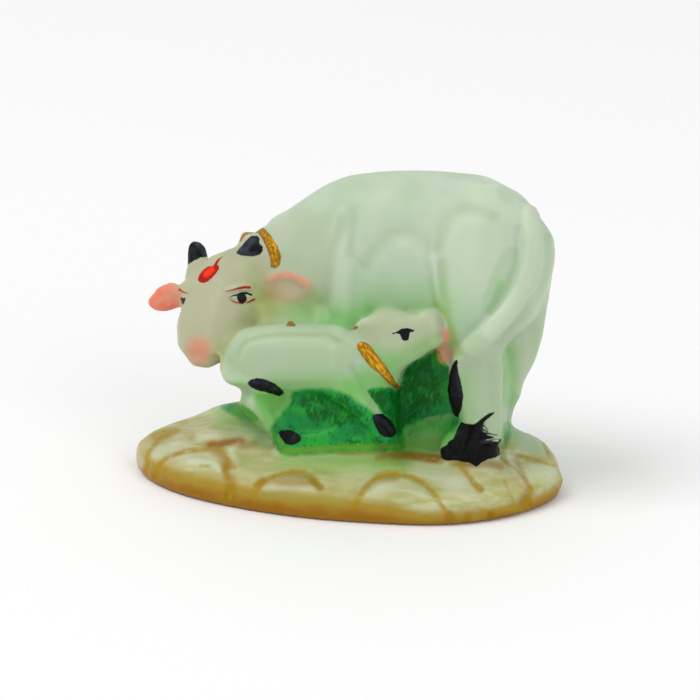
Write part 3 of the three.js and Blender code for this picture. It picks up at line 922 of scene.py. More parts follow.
# Airbrushed coats: soft marks, whose amounts are strengths.
SOFT_MARKS: dict[Layer, tuple[Mark, ...]] = {
    Layer.CREAM: (
        Patch("186,262 206,254 226,250 246,236 262,262 266,296 252,322 224,362 196,368 178,340",
              0.85, 18, off_calf=True),
        Patch("268,236 296,224 318,240 320,290 298,300 276,276", 0.32, 30, off_calf=True),
        Patch("357,330 372,316 400,314 440,316 444,338 420,352 400,350 374,342", 0.55, 14),
    ),
    # Painted highlights along the tail, the thigh, the rump and the lips of the base, painted light over the
    # shaded far leg, web foot and tail hollow, and pale tone on the base.
    Layer.PALE_AND_HIGHLIGHT: (
        Patch("402,436 424,434 444,432 438,448 402,450", 0.4, 9),
        Stroke("530,208 534,240 532,262 524,286 509,310 489,332", 3, 0.4, 8, off_calf=True),
        Patch(TAIL_HOLLOW.trace, 0.3, 4),
        Stroke("518,330 522,356 520,384", 5, 0.35, 12, between=FAR_LEG),
        Stroke("252,398 250,408", 1.5, 0.3, 4),
        Patch("454,232 466,220 484,224 490,250 478,290 460,300", 0.2, 22),
        Patch("470,186 500,180 530,200 524,214 484,204", 0.3, 16),
        Stroke("268,489 290,487 314,488", 0.5, 0.3, 5),
        Stroke("372,491 390,486 408,487 424,494", 2, 0.3, 9),
        Stroke("418,466 440,473 456,482", 3, 0.4, 14),
        Stroke("158,452 170,450 184,446", 3, 0.35, 12),
        Stroke("190,461 208,463 220,467", 1, 0.5, 4),
        Stroke("228,446 234,456 238,462", 0.4, 0.4, 4),
        Stroke("508,452 516,468 525,486", 0.4, 0.5, 4),
        Stroke("517,450 524,466 530,480", 0.3, 0.3, 4),
        Stroke("196,438 214,436", 1, 0.4, 4),
        Stroke("534,470 550,472", 3, 0.4, 8),
        Stroke("133,452 138,463", 3, 0.4, 8),
        Stroke("300,460 340,470 400,470", 1, 0.3, 6),
    ),
    # Painted shade along the shoulder, belly, thigh and tail-root folds, along the calf's ledge and under
    # the jaw and the neck, and olive tone on the base.
    Layer.OLIVE_AND_SHADE: (
        Stroke("264,300 264,318 246,336 232,352", 4, 0.6, 24, off_calf=True),
        Stroke("268,306 290,308 312,306", 4, 0.42, 16, off_calf=True),
        Stroke("244,462 270,468 330,468 400,466 446,468", 3, 0.4, 12),
        Stroke("262,494 300,495 340,500", 1, 0.3, 7),
        Stroke("252,270 262,290 266,306", 3, 0.3, 12, off_calf=True),
        Stroke(BELLY_ARCH, 1, 0.12, 9),
        Stroke("438,250 441,236 451,215 463,208 479,209 493,215", 1, 0.16, 8),
        Stroke("442,262 443,290 447,310", 1, 0.3, 7),
        Stroke("354,217 351,231 349,253", 0.5, 0.15, 6),
        Stroke("341,229 333,249 331,275 329,300", 0.5, 0.12, 7),
        Stroke(CALF_LEDGE, 0.3, 0.22, 3.5),
        Stroke("501,193 509,201", 0.5, 0.06, 7),
        Stroke("322,222 319,260 316,300", 1, 0.14, 18, off_calf=True),
        Stroke("436,306 443,316 452,336 456,352", 1.5, 0.75, 7, off_calf=True),
    ),
    Layer.LEAF: (
        Stroke("338,336 352,334 372,322 400,318 432,314", 2, 0.36, 60, off_calf=True),
        Stroke("340,322 352,322 366,312", 3, 0.4, 16, off_calf=True),
        Stroke("296,312 316,314 336,318", 3, 0.3, 16, off_calf=True),
        Patch(TAIL_HOLLOW.trace, 0.16, 4),
        Stroke("500,284 495,300 490,311", 2, 0.3, 4),
        Stroke("374,354 386,362 396,372", 3, 0.3, 14),
        Stroke("501,338 508,348 511,370 510,400", 1, 0.45, 13, between=FAR_LEG),
        Stroke("276,394 300,392 330,390 346,395", 2, 0.56, 26),
        Stroke("240,386 262,392 276,394", 1, 0.25, 12),
        Stroke("366,380 376,385 388,389", 3, 0.6, 18),
        Stroke("348,386 358,396 368,406", 3, 0.5, 9),
        Stroke("388,362 402,360 416,352 432,346", 2, 0.4, 16),
        Patch("258,397 285,398 290,405 282,418 275,428 268,420 262,408", 0.72, 9),
        Patch("402,432 428,424 456,420 452,436 440,446 402,450", 0.8, 10),
        Stroke("224,418 244,422 262,434", 3, 0.45, 16, off_calf=True),
        Stroke("464,380 466,400 470,418", 2, 0.2, 12),
        Stroke("288,458 340,460 400,462", 4, 0.34, 16),
        Stroke("505,425 512,434", 2, 0.2, 9),
    ),
    Layer.OCHRE: (
        Stroke("211,446 226,443 241,441", 1.0, 1.0, 6),
        Stroke("242,446 256,444", 1.4, 0.5, 4.5),
        Stroke("212,446 222,454 226,464", 3, 0.5, 7),
        Stroke("158,440 172,434 190,436", 2, 0.35, 8),
        Stroke("340,452 370,452 391,452 411,454 440,458", 1.2, 0.85, 3.5),
        Stroke("404,455 428,459 441,460", 1.8, 0.9, 4),
        Stroke("377,458 388,454 399,457", 0.8, 0.6, 4),
        Stroke("286,453.5 310,453 338,451.5", 0.5, 0.6, 3),
        Stroke("453,462 470,464 488,463 500,466", 1.5, 0.7, 5),
        Patch("268,482 291,475 305,477 314,484 280,484", 0.45, 7),
        Stroke("500,521 530,512 552,498 563,483", 1.5, 0.5, 6),
        Stroke("366,488 378,480 396,477", 1, 0.4, 6),
        Stroke("450,516 449,524", 3, 0.7, 4),
        Stroke("468,516 467,523", 2, 0.7, 4),
        Stroke("491,516 491,521", 3, 0.9, 3),
        Stroke("258,486 262,482", 2, 0.8, 4),
        Stroke("313,481 320,488", 1.5, 0.7, 4),
        Stroke("479,488 481,490", 1, 0.5, 3),
        Stroke("228,468 231,486 230,496", 3, 0.5, 6),
        Stroke("524,500 528,508", 3, 0.6, 6),
        Stroke("520,478 529,490 527,500", 2, 0.4, 7),
    ),
    Layer.GREEN: (
        Patch("296,397 306,394.5 329,394 342,398 353,405 364,412 371,417 374,429 383,438 397,441 "
              "399,446 343,447 309,449.5 287,451 282,447 277,438 276,430 281,422 290,412 297,403", 1.0, 11),
        Patch("369,391 381,389 398,391 402,402 401,442 397,438 396,428 390,417 384,413 377,402", 1.0, 4),
        Patch("402,388 406,374 409,369 417,363 429,357 438,351.5 441,361 446,367 448,380 449,400 "
              "452,410 440,412 425,414 402,426", 1.0, 5, BEHIND_JAW),
        Patch("402,410 428,408 456,408 458,420 452,426 426,426 402,434", 0.52, 17, BEHIND_JAW),
        Patch("438,447 445,434 455,421 460,424 455,438 447,447", 0.3, 8),
        Stroke("507,432 508,440 514,446", 1, 0.18, 6),
        Stroke("226,405 238,409 252,416", 2, 0.8, 9, off_calf=True),
        Patch("232,410 250,414 268,430 262,434 244,424", 0.4, 8, off_calf=True),
        Stroke("507,426 507,436 503,446", 1.5, 0.5, 6),
    ),
    Layer.DEEP: (
        Patch("302,401 312,397 328,397 342,401 356,410 364,418 344,422 314,417", 0.7, 9),
        Patch("372,393 398,394 401,430 396,424 390,414 381,404", 0.9, 6),
        Patch("404,388 412,370 426,364 434,380 436,396 430,408 418,412 404,420", 0.8, 12),
        # Painted shade: the dark line in the crease between the bank and the web.
        Stroke("400,389 400,410 399,434", 1, 0.9, 3),
        Stroke("336,442 360,442 380,440", 1, 0.5, 5),
    ),
    Layer.MOSS: (
        Stroke("283,450.5 309,449.5 340,447.5 398,446.5", 0.8, 0.8, 3),
        Patch("402,442 430,440 444,438 442,446 438,452 402,452", 0.3, 8, BEHIND_JAW),
        Stroke("283,446 280,440", 1, 0.5, 4),
        Stroke("240,408 256,424 268,440", 3, 0.45, 12),
        Stroke("290,456 330,456 380,456", 2, 0.3, 10),
    ),
    Layer.PINK: (
        Patch("144,302 148,292 155,286 164,281 172,280 178,296 176,314 162,316 152,314 146,309",
              0.62, 6, FAR_EAR),
        Stroke("158,290 152,296 151,304 158,309 168,310", 3, 0.6, 16, between=FAR_EAR),
        Stroke("273,278 281,274 290,275 299,279 307,284", 0.6, 0.38, 5),
        Stroke("278,275 285,274 294,277 304,282", 0.3, 0.35, 2.5),
        Patch("268,280 284,276 300,280 310,286 304,294 288,299 272,296", 0.2, 10),
        Stroke("198,346 202,349", 1, 0.4, 17),
        Stroke("196,352 197,362", 4, 0.26, 14),
        Patch("443,332 446,329 449,336 447,343 444,342", 0.5, 3, (-99, 12.6)),
        Patch("437,349 445,346 450,352 448,361 441,361", 0.5, 5),
        Stroke("245,232 239,240", 1, 0.25, 3),
    ),
    # Painted highlights on the black of the horns, hooves and tail tufts.
    Layer.GLINT: (
        Stroke("241,253 246,247 252,240", 1.2, 0.5, 4),
        Stroke("246,254 256,254", 0.6, 0.4, 3),
        Stroke("197,243 202,249 205,254", 1, 0.5, 3),
        Stroke("189,250 188,262", 0.6, 0.3, 2.5),
        Stroke("376,417 384,421 391,430", 0.8, 0.35, 3),
        Stroke("482,442 495,440", 0.6, 0.45, 2.5),
        Stroke("457,372 459,384 460,396", 0.3, 0.25, 2.5),
        Stroke("252,381 264,382 276,389", 0.5, 0.25, 3),
    ),
}

# The widest and palest of them, which fade out where the reference view ends.
WASHES = (Layer.CREAM, Layer.PALE_AND_HIGHLIGHT, Layer.LEAF, Layer.OLIVE_AND_SHADE)

# Brushed coats with a firm edge; the depth inside the mark is kept, in pixels.
FIRM_MARKS: dict[Layer, tuple[Mark, ...]] = {
    Layer.BROWN: (
        Stroke("355,507 360,496 367,486 376,478 388,474.5 402,474 413,477 425,484 434,494 441,505 "
               "447,512", 2.2),
        Stroke("376,474 388,471 404,471.5", 1.0),
        Stroke("256,487 260,483 266,480 277,475 291,471.5", 3.0, end_width=1.6),
        Stroke("291,471 303,471 311,476 317,482 321,488", 2.0),
        Stroke("255,489 254,502", 2.0, end_width=0.8),
        Stroke("214,449 186,451 168,457 160,464 157,480", 2.3),
        Stroke("178,431 160,438 149,452 146,466 150,478", 2.2, end_width=1.6),
        Stroke("220,451 227,459 225,470 231,484 230,498", 3.0, end_width=2.2),
        Stroke("229,459 235,468", 1.8),
        Stroke("200,465.2 210,465.8", 1.0),
        Stroke("452,461 464,470 475,485 480.5,489.5", 1.8, end_width=3.4),
        Stroke("504,480 508,490 514,504", 1.4, end_width=0.8),
        Stroke("500,459 512,466 524,478 531,490", 1.0, end_width=1.6),
        Stroke("531,489 528,500 521,513", 2.4, end_width=1.6),
        Stroke("517,455 538,461 556,466", 1.8, end_width=1.0),
        Stroke("543,441 547,452 549,456", 1.8, end_width=0.9),
        Stroke("524,498 527,508", 2.4),
        Stroke("150,436 164,431 178,432", 1.4, end_width=0.6),
    ),
    Layer.GOLD: (
        Patch("255.5,231.5 262,227.5 266,230 271.5,236.5 277.5,246 281,256 280.3,264 276,268 270.5,267 "
              "270.5,260 267.5,250 263,240 259,234"),
        Patch("357,344 360,341.4 365.6,342.4 370.7,345.5 373.3,350 379,357 386,366 392,375.6 397,384 "
              "401,387.3 397.5,390 392,386 386,381 378,372.6 369.7,366.4 362.6,357 357.4,349"),
        Stroke("240.5,241 243,236 247,233 253,231.8", 1.2),
        Patch("286,326 288.5,321.5 291.5,320 293.5,323 296,324.5 295.5,326.5"),
        Stroke("353.5,328.5 357,327.4", 1.3),
    ),
    Layer.BLACK: (
        Patch("186,266 186.5,258 187.7,249 190,243 195,240 203,242 209,249 212,256 201,257.5 194,260.5 "
              "189,264", between=(-99, -6)),
        Patch("236.3,252 240,247.6 248,238.4 252,235.5 258,236 260,239 259,243 262.7,246.4 263,250 "
              "261,254 256,256 248,256.4 241,255.4 237,254"),
        Patch("247,383.7 249,380 256,378 264.6,379 274,383 281,388.4 285,393 278.7,396.5 272.8,394.3 "
              "267,392.6 258.7,390.8 251.6,387.8"),
        Patch("277.5,431 282.3,430 290,429.7 296.4,432.7 301,436.8 301.7,440 297.6,443.3 291.7,445.3 "
              "285.8,444 281,438"),
        Patch("372,415.4 375.8,414 382,413.4 388,417.4 394,424.6 397.3,431.7 395.5,435 391,437.5 "
              "384,437 379,433 375.3,426.6 372.8,419.5"),
        Patch("456,359.5 458,360.3 457.4,365.4 459,374.6 462,386.8 463.4,397 461.5,409.3 457.4,418 "
              "453.4,414.4 449.3,402 447.6,390 449.3,374.6 452.3,364.4"),
        Stroke("482,424 488,430", 1.0, end_width=0.3),
        Stroke("482,429 491,433.5", 1.0, end_width=0.3),
        Stroke("484,433 497,435", 0.9, end_width=0.4),
        Stroke("485,441 499,439", 0.8, end_width=0.4),
        Patch("461,421.5 464,422.7 469,424.2 475,423.9 479,420.6 484.5,416 489.4,413 494.5,412 "
              "494.2,413.6 490,417 485.7,420.6 483.3,424.2 483.3,427.3 481.5,429 484,432 488.2,435.4 "
              "496,437.4 486,440 498,441.6 501,438 501.5,440 499,443.6 499.5,448.5 500,455 495.4,457.6 "
              "488.2,459.4 482,462.4 478.5,465 475.4,467.6 473.6,465.4 469.4,462.4 462.7,461.8 453,460 "
              "448.2,461 443.3,460 440.6,456.3 440,450.3 441.5,447.3 447,444.8 448.8,441.2 453,438.8 "
              "455.4,434 457.3,429"),
    ),
    Layer.RED: (
        Patch("197.8,279.7 199,275 203.5,269.4 208,266.3 214,266 218.5,264.8 219.3,268.2 216.7,272.8 "
              "212.7,277.4 208,281.4 204,283.2 199.5,282.2"),
        Stroke("214.5,267 217,262 219.3,259 222.6,256.6", 1.8, end_width=0.3),
        Stroke("226,291.4 233.4,289.7 239,288", 0.4, end_width=1.0),
        Stroke("239,288.2 244,287.3 249.6,287.4", 1.1, end_width=1.4),
        Stroke("229.4,298 231.7,300.4 235.7,302.4 243,303.7", 0.4, end_width=0.7),
        Stroke("247,302.8 250.6,301 254.4,299.2", 0.6, end_width=1.1),
        Stroke("179.6,289.6 182.5,291.8 188.4,293.6", 1.2, end_width=0.4),
    ),
    Layer.ORANGE: (
        Stroke("206.2,274.4 209,271.8 211.6,269.6", 3.0),
    ),
    Layer.INK: (
        Stroke("230.2,296.8 233.4,295.5 237,295.1 241,293.4", 0.4, end_width=1.2),
        Stroke("241,293.6 246,292.9 251.6,294.9", 1.4, end_width=0.9),
        Stroke("241.6,297.4 242.1,298.6", 4.7),
        Patch("180,297 183,298 186,297.8 184.6,302 183,305 181.5,302"),
        Patch("391.6,333.3 397,331.6 401.3,328.7 407.4,327.9 414.6,330 413.6,331.7 410,332.2 408.5,340 "
              "405.4,341 402.3,340 399.8,334.3 396,333.3 392.7,334.3"),
    ),
}

# What the reference view doesn't reach, on the figures' grid or on the head.
HIDDEN_SOFT: dict[Layer, tuple[Rod, ...]] = {
    Layer.CREAM: (
        Rod((-1.5, 0, 2), (3, 0, -5), 7.0, 0.8, 4.0, True),
        Rod((8, -5.4, 21), (15, -4.8, 22.6), 4.0, 0.6, 2.5),
    ),
    Layer.LEAF: (
        Rod((-2, 10, 15), (18, 10, 15), 5.0, 0.55, 8.0),
        Rod((-14, 4, 17), (-6, 6, 14), 4.0, 0.5, 6.0),
    ),
    Layer.GREEN: (
        Rod((-2, 10, 3), (18, 10, 3), 5.0, 0.9, 5.0),
        Rod((-9, 3, 2), (-4, 3, 4), 4.0, 0.8, 4.0),
    ),
    Layer.PINK: (
        Rod((-0.4, -8, 0.6), (0.7, -12.6, 0.4), 2.6, 0.7, 1.5, True),
        Rod((-4.8, 9, 0.6), (-6, 12.6, 0.4), 2.2, 0.55, 1.5, True),
        Rod((7.2, 0, -6.8), (7.2, 0, -6.8), 2.4, 0.8, 2.0, True),
        Rod((17.2, -2.4, 17.5), (17.4, -2.6, 21.6), 1.6, 0.8, 1.0),
    ),
}
HIDDEN_FIRM: dict[Layer, tuple[Rod, ...]] = {
    Layer.BLACK: (
        Rod((-3.6, -5.9, 4.6), (-5.5, -6.8, 8.4), 2.7, on_head=True),
        Rod((-4, 6.3, 7.6), (-4.8, 7.5, 8.8), 2.6, on_head=True),
        Rod((23.6, -1.3, -1), (23.6, -1.3, 0.2), 5.0),
        Rod((21, -2.2, -0.4), (18.4, -2.4, 0.2), 4.4),
        Rod((22.2, 12.6, 2.2), (19, 12.2, 0.6), 4.2),
        Rod((1, 13, -0.6), (-1.2, 12.4, -0.4), 3.8),
        Rod((20.8, -4.3, 17.6), (20.2, -3.6, 12), 1.6),
        Rod((20.2, -3.6, 12), (20.3, -3.2, 8.4), 1.5),
        Rod((-14.8, -12.4, 12.7), (-9.4, -12.5, 11.2), 1.5),
        Rod((-8.6, -9.2, 2), (-8, -9.2, 0.6), 2.0),
        Rod((9, -9.3, 5.6), (9.9, -9.3, 4.2), 2.0),
    ),
    Layer.RED: (
        Rod((2.6, -4.8, 1.9), (1.6, -6.9, 1.9), 0.28, on_head=True),
    ),
    Layer.INK: (
        Rod((2.2, -6.6, 0), (2.0, -6.8, 0), 0.9, on_head=True),
        Rod((3.0, -5.4, 0.3), (1.0, -7.2, 0.5), 0.3, on_head=True),
    ),
}


@dataclass(frozen=True)
class CollarBand:
    """A collar's slab, which cuts the neck where the part's source puts the band."""

    centre: Place
    normal: Place
    reach: float
    half_width: float = 0.95

    def depth(self, places: np.ndarray) -> np.ndarray:
        """Measures how far inside the band places are, in millimetres.

        Args:
            places: Places in millimetres, one in each row.

        Returns:
            The depth, below zero outside.
        """
        away = places - figure(*self.centre)
        normal = np.array(self.normal) / np.linalg.norm(self.normal)
        within = self.half_width - np.abs(away @ normal)
        return np.where(np.linalg.norm(away, axis=1) < self.reach, within, -10.0)


COLLARS = (
    CollarBand((-15.6, 3.7, 26.7), (0.76, 0.62, 0.19), 11.0),
    CollarBand((6.8, -5.8, 17.7), (0.68, 0.09, 0.73), 7.0),
)


@dataclass
class Ground:
    """The base's own coat: cream on top, running to brown at the foot of the rim."""

    half_length: float = 37.3
    half_width: float = 20.8
    rim_height: float = 5.2
    level: float = 7.5
    swells: tuple[tuple[float, float, float, float], ...] = (
        (9.0, 0.0, 11.0, 1.8), (24.0, 10.0, 10.0, 4.5), (-20.0, 13.0, 12.0, 2.4),
    )
    swell_fall: float = 2.2
    rim_top: float = 1.4
    rump_drop: float = 0.55
    rump_fade: float = 0.15
    rump_run: Point = (8.0, 22.0)
    arcs: int = 7
    arc_half: float = 0.36
    arc_foot: float = 0.93
    arc_rise: float = 0.22
    arc_line: float = 0.3
    arc_fall: float = 0.8

    def share(self, places: np.ndarray) -> np.ndarray:
        """Gives how far out on the base places are, 1 at the rim."""
        return np.hypot(places[:, 0] / self.half_length, places[:, 1] / self.half_width)

    def height(self, places: np.ndarray) -> np.ndarray:
        """Gives the ground's height below or above places.

        Args:
            places: Places in millimetres, one in each row.

        Returns:
            The height of the ground at each place.
        """
        within = 1 - self.share(places)
        rise = (self.level - self.rim_height) * soft_step(0.02, 0.5, within)
        swell = np.zeros(len(places))
        for x, y, radius, height in self.swells:
            away = np.hypot(places[:, 0] - x, places[:, 1] - y) / radius
            swell += height * np.exp(-self.swell_fall * away * away)
        return self.rim_height + rise + swell * soft_step(0.0, 0.3, within)

    def cover(self, places: np.ndarray) -> np.ndarray:
        """Tells how far places belong to the base rather than to the figures."""
        return soft_step(1.6, 0.5, places[:, 2] - self.height(places))

    def rim(self, places: np.ndarray) -> np.ndarray:
        """Gives the brown of the rim.

        Args:
            places: Places in millimetres, one in each row.

        Returns:
            1 at the rim's foot to 0 on top; it is lower at the rump's end.
        """
        rump = soft_step(*self.rump_run, places[:, 0])
        top = self.rim_top - self.rump_drop * rump
        share = np.clip((top * self.rim_height - places[:, 2]) / ((top - 0.1) * self.rim_height), 0, 1)
        return share * share * (3 - 2 * share) * (1 - self.rump_fade * rump)

    def back_arcs(self, places: np.ndarray) -> np.ndarray:
        """Measures the depth inside brown arcs along the hidden rim.

        Args:
            places: Places in millimetres, one in each row.

        Returns:
            The depth in millimetres, below zero outside.
        """
        angle = np.arctan2(places[:, 1] / self.half_width, places[:, 0] / self.half_length)
        along = (angle / math.tau * self.arcs) % 1.0 - 0.5
        lift = self.arc_foot - self.arc_rise * np.sqrt(np.clip(1 - (along / self.arc_half) ** 2, 0, 1))
        arc = np.where(np.abs(along) < self.arc_half, np.abs(self.share(places) - lift), 1.0)
        return self.arc_line - arc * self.half_width * self.arc_fall


@dataclass
class PaintWork:
    """Lays every coat on the skin and keeps it as an attribute."""

    skin: Skin
    limit: float = 12.0

    def apply(self) -> None:
        """Works out and stores all coats."""
        sight = Sight(self.skin)
        hidden = 1.0 - sight.washed
        soft = {layer: np.zeros(self.skin.count) for layer in SOFT_MARKS}
        for layer, marks in SOFT_MARKS.items():
            veil = sight.washed if layer in WASHES else sight.painted
            for mark in marks:
                soft[layer] += (1 - soft[layer]) * np.clip(mark.amount * sight.cover(mark, veil), 0, 1)
        for layer, rods in HIDDEN_SOFT.items():
            for rod in rods:
                cover = rod.amount * soft_step(-rod.soft, 0.0, rod.depth(self.skin.places)) * hidden
                soft[layer] += (1 - soft[layer]) * cover
        for layer in (layer for layer in Layer if layer in FIRM_MARKS):
            self.skin.store(layer.value, self.firm(layer, sight))
        ground = Ground()
        base = ground.cover(self.skin.places)
        soft[Layer.GROUND] = base
        rim = ground.rim(self.skin.places) * base
        for layer, values in soft.items():
            self.skin.store(layer.value, np.clip(values, 0, 1))
        self.skin.store("rim", rim)

    def firm(self, layer: Layer, sight: Sight) -> np.ndarray:
        """Gives a brushed coat's depth at each vertex.

        Args:
            layer: The coat.
            sight: What the reference view sees.

        Returns:
            The depth inside the nearest mark, in pixels, below zero outside.
        """
        drawn = np.full(self.skin.count, -self.limit)
        for mark in FIRM_MARKS[layer]:
            near = sight.near(mark, self.limit)
            shown = sight.within_depth(mark, near) > 0.5
            depth = np.where(shown, mark.depth(sight.pixels[near]), -self.limit)
            drawn[near] = np.maximum(drawn[near], depth)
        rounded = np.full(self.skin.count, -self.limit)
        for rod in HIDDEN_FIRM.get(layer, ()):
            rounded = np.maximum(rounded, rod.depth(self.skin.places) * SIGHT.scale())
        if layer is Layer.GOLD:
            for band in COLLARS:
                rounded = np.maximum(rounded, band.depth(self.skin.places) * SIGHT.scale())
        if layer is Layer.BROWN:
            ground = Ground()
            arcs = np.where(ground.cover(self.skin.places) > 0.5, ground.back_arcs(self.skin.places), -10.0)
            rounded = np.maximum(rounded, arcs * SIGHT.scale())
        return np.clip(np.where(sight.painted > 0.5, drawn, rounded), -self.limit, self.limit)


def srgb(red: float, green: float, blue: float) -> tuple[float, float, float, float]:
    """Turns a colour of 0 to 255 a channel into the shader's linear one.

    Args:
        red: Its red, 0 to 255.
        green: Its green.
        blue: Its blue.

    Returns:
        The linear colour and full cover.
    """
    linear = [c / 255 / 12.92 if c <= 10 else ((c / 255 + 0.055) / 1.055) ** 2.4
              for c in (red, green, blue)]
    return (*linear, 1.0)


class NodeSheet:
    """Adds nodes to a material and links them."""

    def __init__(self, name: str) -> None:
        """Starts a material.

        Args:
            name: The material's name.
        """
        self.material = bpy.data.materials.new(name)
        self.material.use_nodes = True
        self.tree = self.material.node_tree
        self.shader = self.tree.nodes["Principled BSDF"]
        self.place = self.tree.nodes.new("ShaderNodeTexCoord").outputs["Object"]

    def feed(self, socket: Socket, value: object) -> None:
        """Sets a socket to a plain value, or links it to another socket.

        Args:
            socket: The input.
            value: A number, a colour of 0 to 255 a channel, or a socket.
        """
        if isinstance(value, Socket):
            self.tree.links.new(value, socket)
        else:
            socket.default_value = srgb(*value) if isinstance(value, tuple) else value

    def height(self) -> Socket:
        """Reads the height above the underside.

        Returns:
            The height in metres.
        """
        node = self.tree.nodes.new("ShaderNodeSeparateXYZ")
        self.tree.links.new(self.place, node.inputs["Vector"])
        return node.outputs["Z"]

    def attribute(self, name: str) -> Socket:
        """Reads one of the mesh's numbers.

        Args:
            name: The attribute's name.

        Returns:
            Its value.
        """
        node = self.tree.nodes.new("ShaderNodeAttribute")
        node.attribute_name = name
        return node.outputs["Fac"]

    def noise(self, size: float, detail: float = 2.0, stretch: Place = (1.0, 1.0, 1.0),
              shift: float = 0.0, turn: Place = (0.0, 0.0, 0.0)) -> Socket:
        """Makes a cloudy pattern fixed to the object.

        Args:
            size: The size of its spots in millimetres.
            detail: How many finer patterns it holds.
            stretch: How much longer the spots are along each axis.
            shift: Moves the pattern, so that two alike don't coincide.
            turn: Turns the pattern, in radians.

        Returns:
            A number between 0 and 1.
        """
        mapping = self.tree.nodes.new("ShaderNodeMapping")
        mapping.vector_type = "TEXTURE"
        self.tree.links.new(self.place, mapping.inputs["Vector"])
        mapping.inputs["Location"].default_value = (shift * MM,) * 3
        mapping.inputs["Rotation"].default_value = turn
        mapping.inputs["Scale"].default_value = tuple(size * MM * length for length in stretch)
        node = self.tree.nodes.new("ShaderNodeTexNoise")
        self.tree.links.new(mapping.outputs["Vector"], node.inputs["Vector"])
        node.inputs["Scale"].default_value = 1.0
        node.inputs["Detail"].default_value = detail
        return node.outputs["Fac"]

    def math(self, operation: str, *values: object) -> Socket:
        """Does sums on numbers or sockets.

        Args:
            operation: The sum's name.
            values: What it works on.

        Returns:
            The result.
        """
        node = self.tree.nodes.new("ShaderNodeMath")
        node.operation = operation
        for socket, value in zip(node.inputs, values):
            self.feed(socket, value)
        return node.outputs["Value"]

    def times(self, first: object, second: object) -> Socket:
        """Multiplies two numbers or sockets."""
        return self.math("MULTIPLY", first, second)

    def plus(self, first: object, second: object) -> Socket:
        """Adds two numbers or sockets."""
        return self.math("ADD", first, second)

    def step(self, value: object, low: float, high: float, top: float = 1.0) -> Socket:
        """Rises smoothly from 0 at low to top at high.

        Args:
            value: What is read.
            low: Where the rise starts.
            high: Where it ends.
            top: What it reaches.

        Returns:
            The risen value.
        """
        node = self.tree.nodes.new("ShaderNodeMapRange")
        node.interpolation_type = "SMOOTHSTEP"
        self.feed(node.inputs["Value"], value)
        for name, number in (("From Min", low), ("From Max", high), ("To Min", 0.0), ("To Max", top)):
            node.inputs[name].default_value = number
        return node.outputs["Result"]

    def mix(self, share: object, under: object, over: object, blend: str = "MIX") -> Socket:
        """Lays one colour over another.

        Args:
            share: How much the upper one covers.
            under: The lower colour.
            over: The upper colour.
            blend: How the two are mixed.

        Returns:
            The mixed colour.
        """
        node = self.tree.nodes.new("ShaderNodeMix")
        node.data_type = "RGBA"
        node.blend_type = blend
        self.feed(node.inputs["Factor"], share)
        self.feed(node.inputs[6], under)
        self.feed(node.inputs[7], over)
        return node.outputs[2]


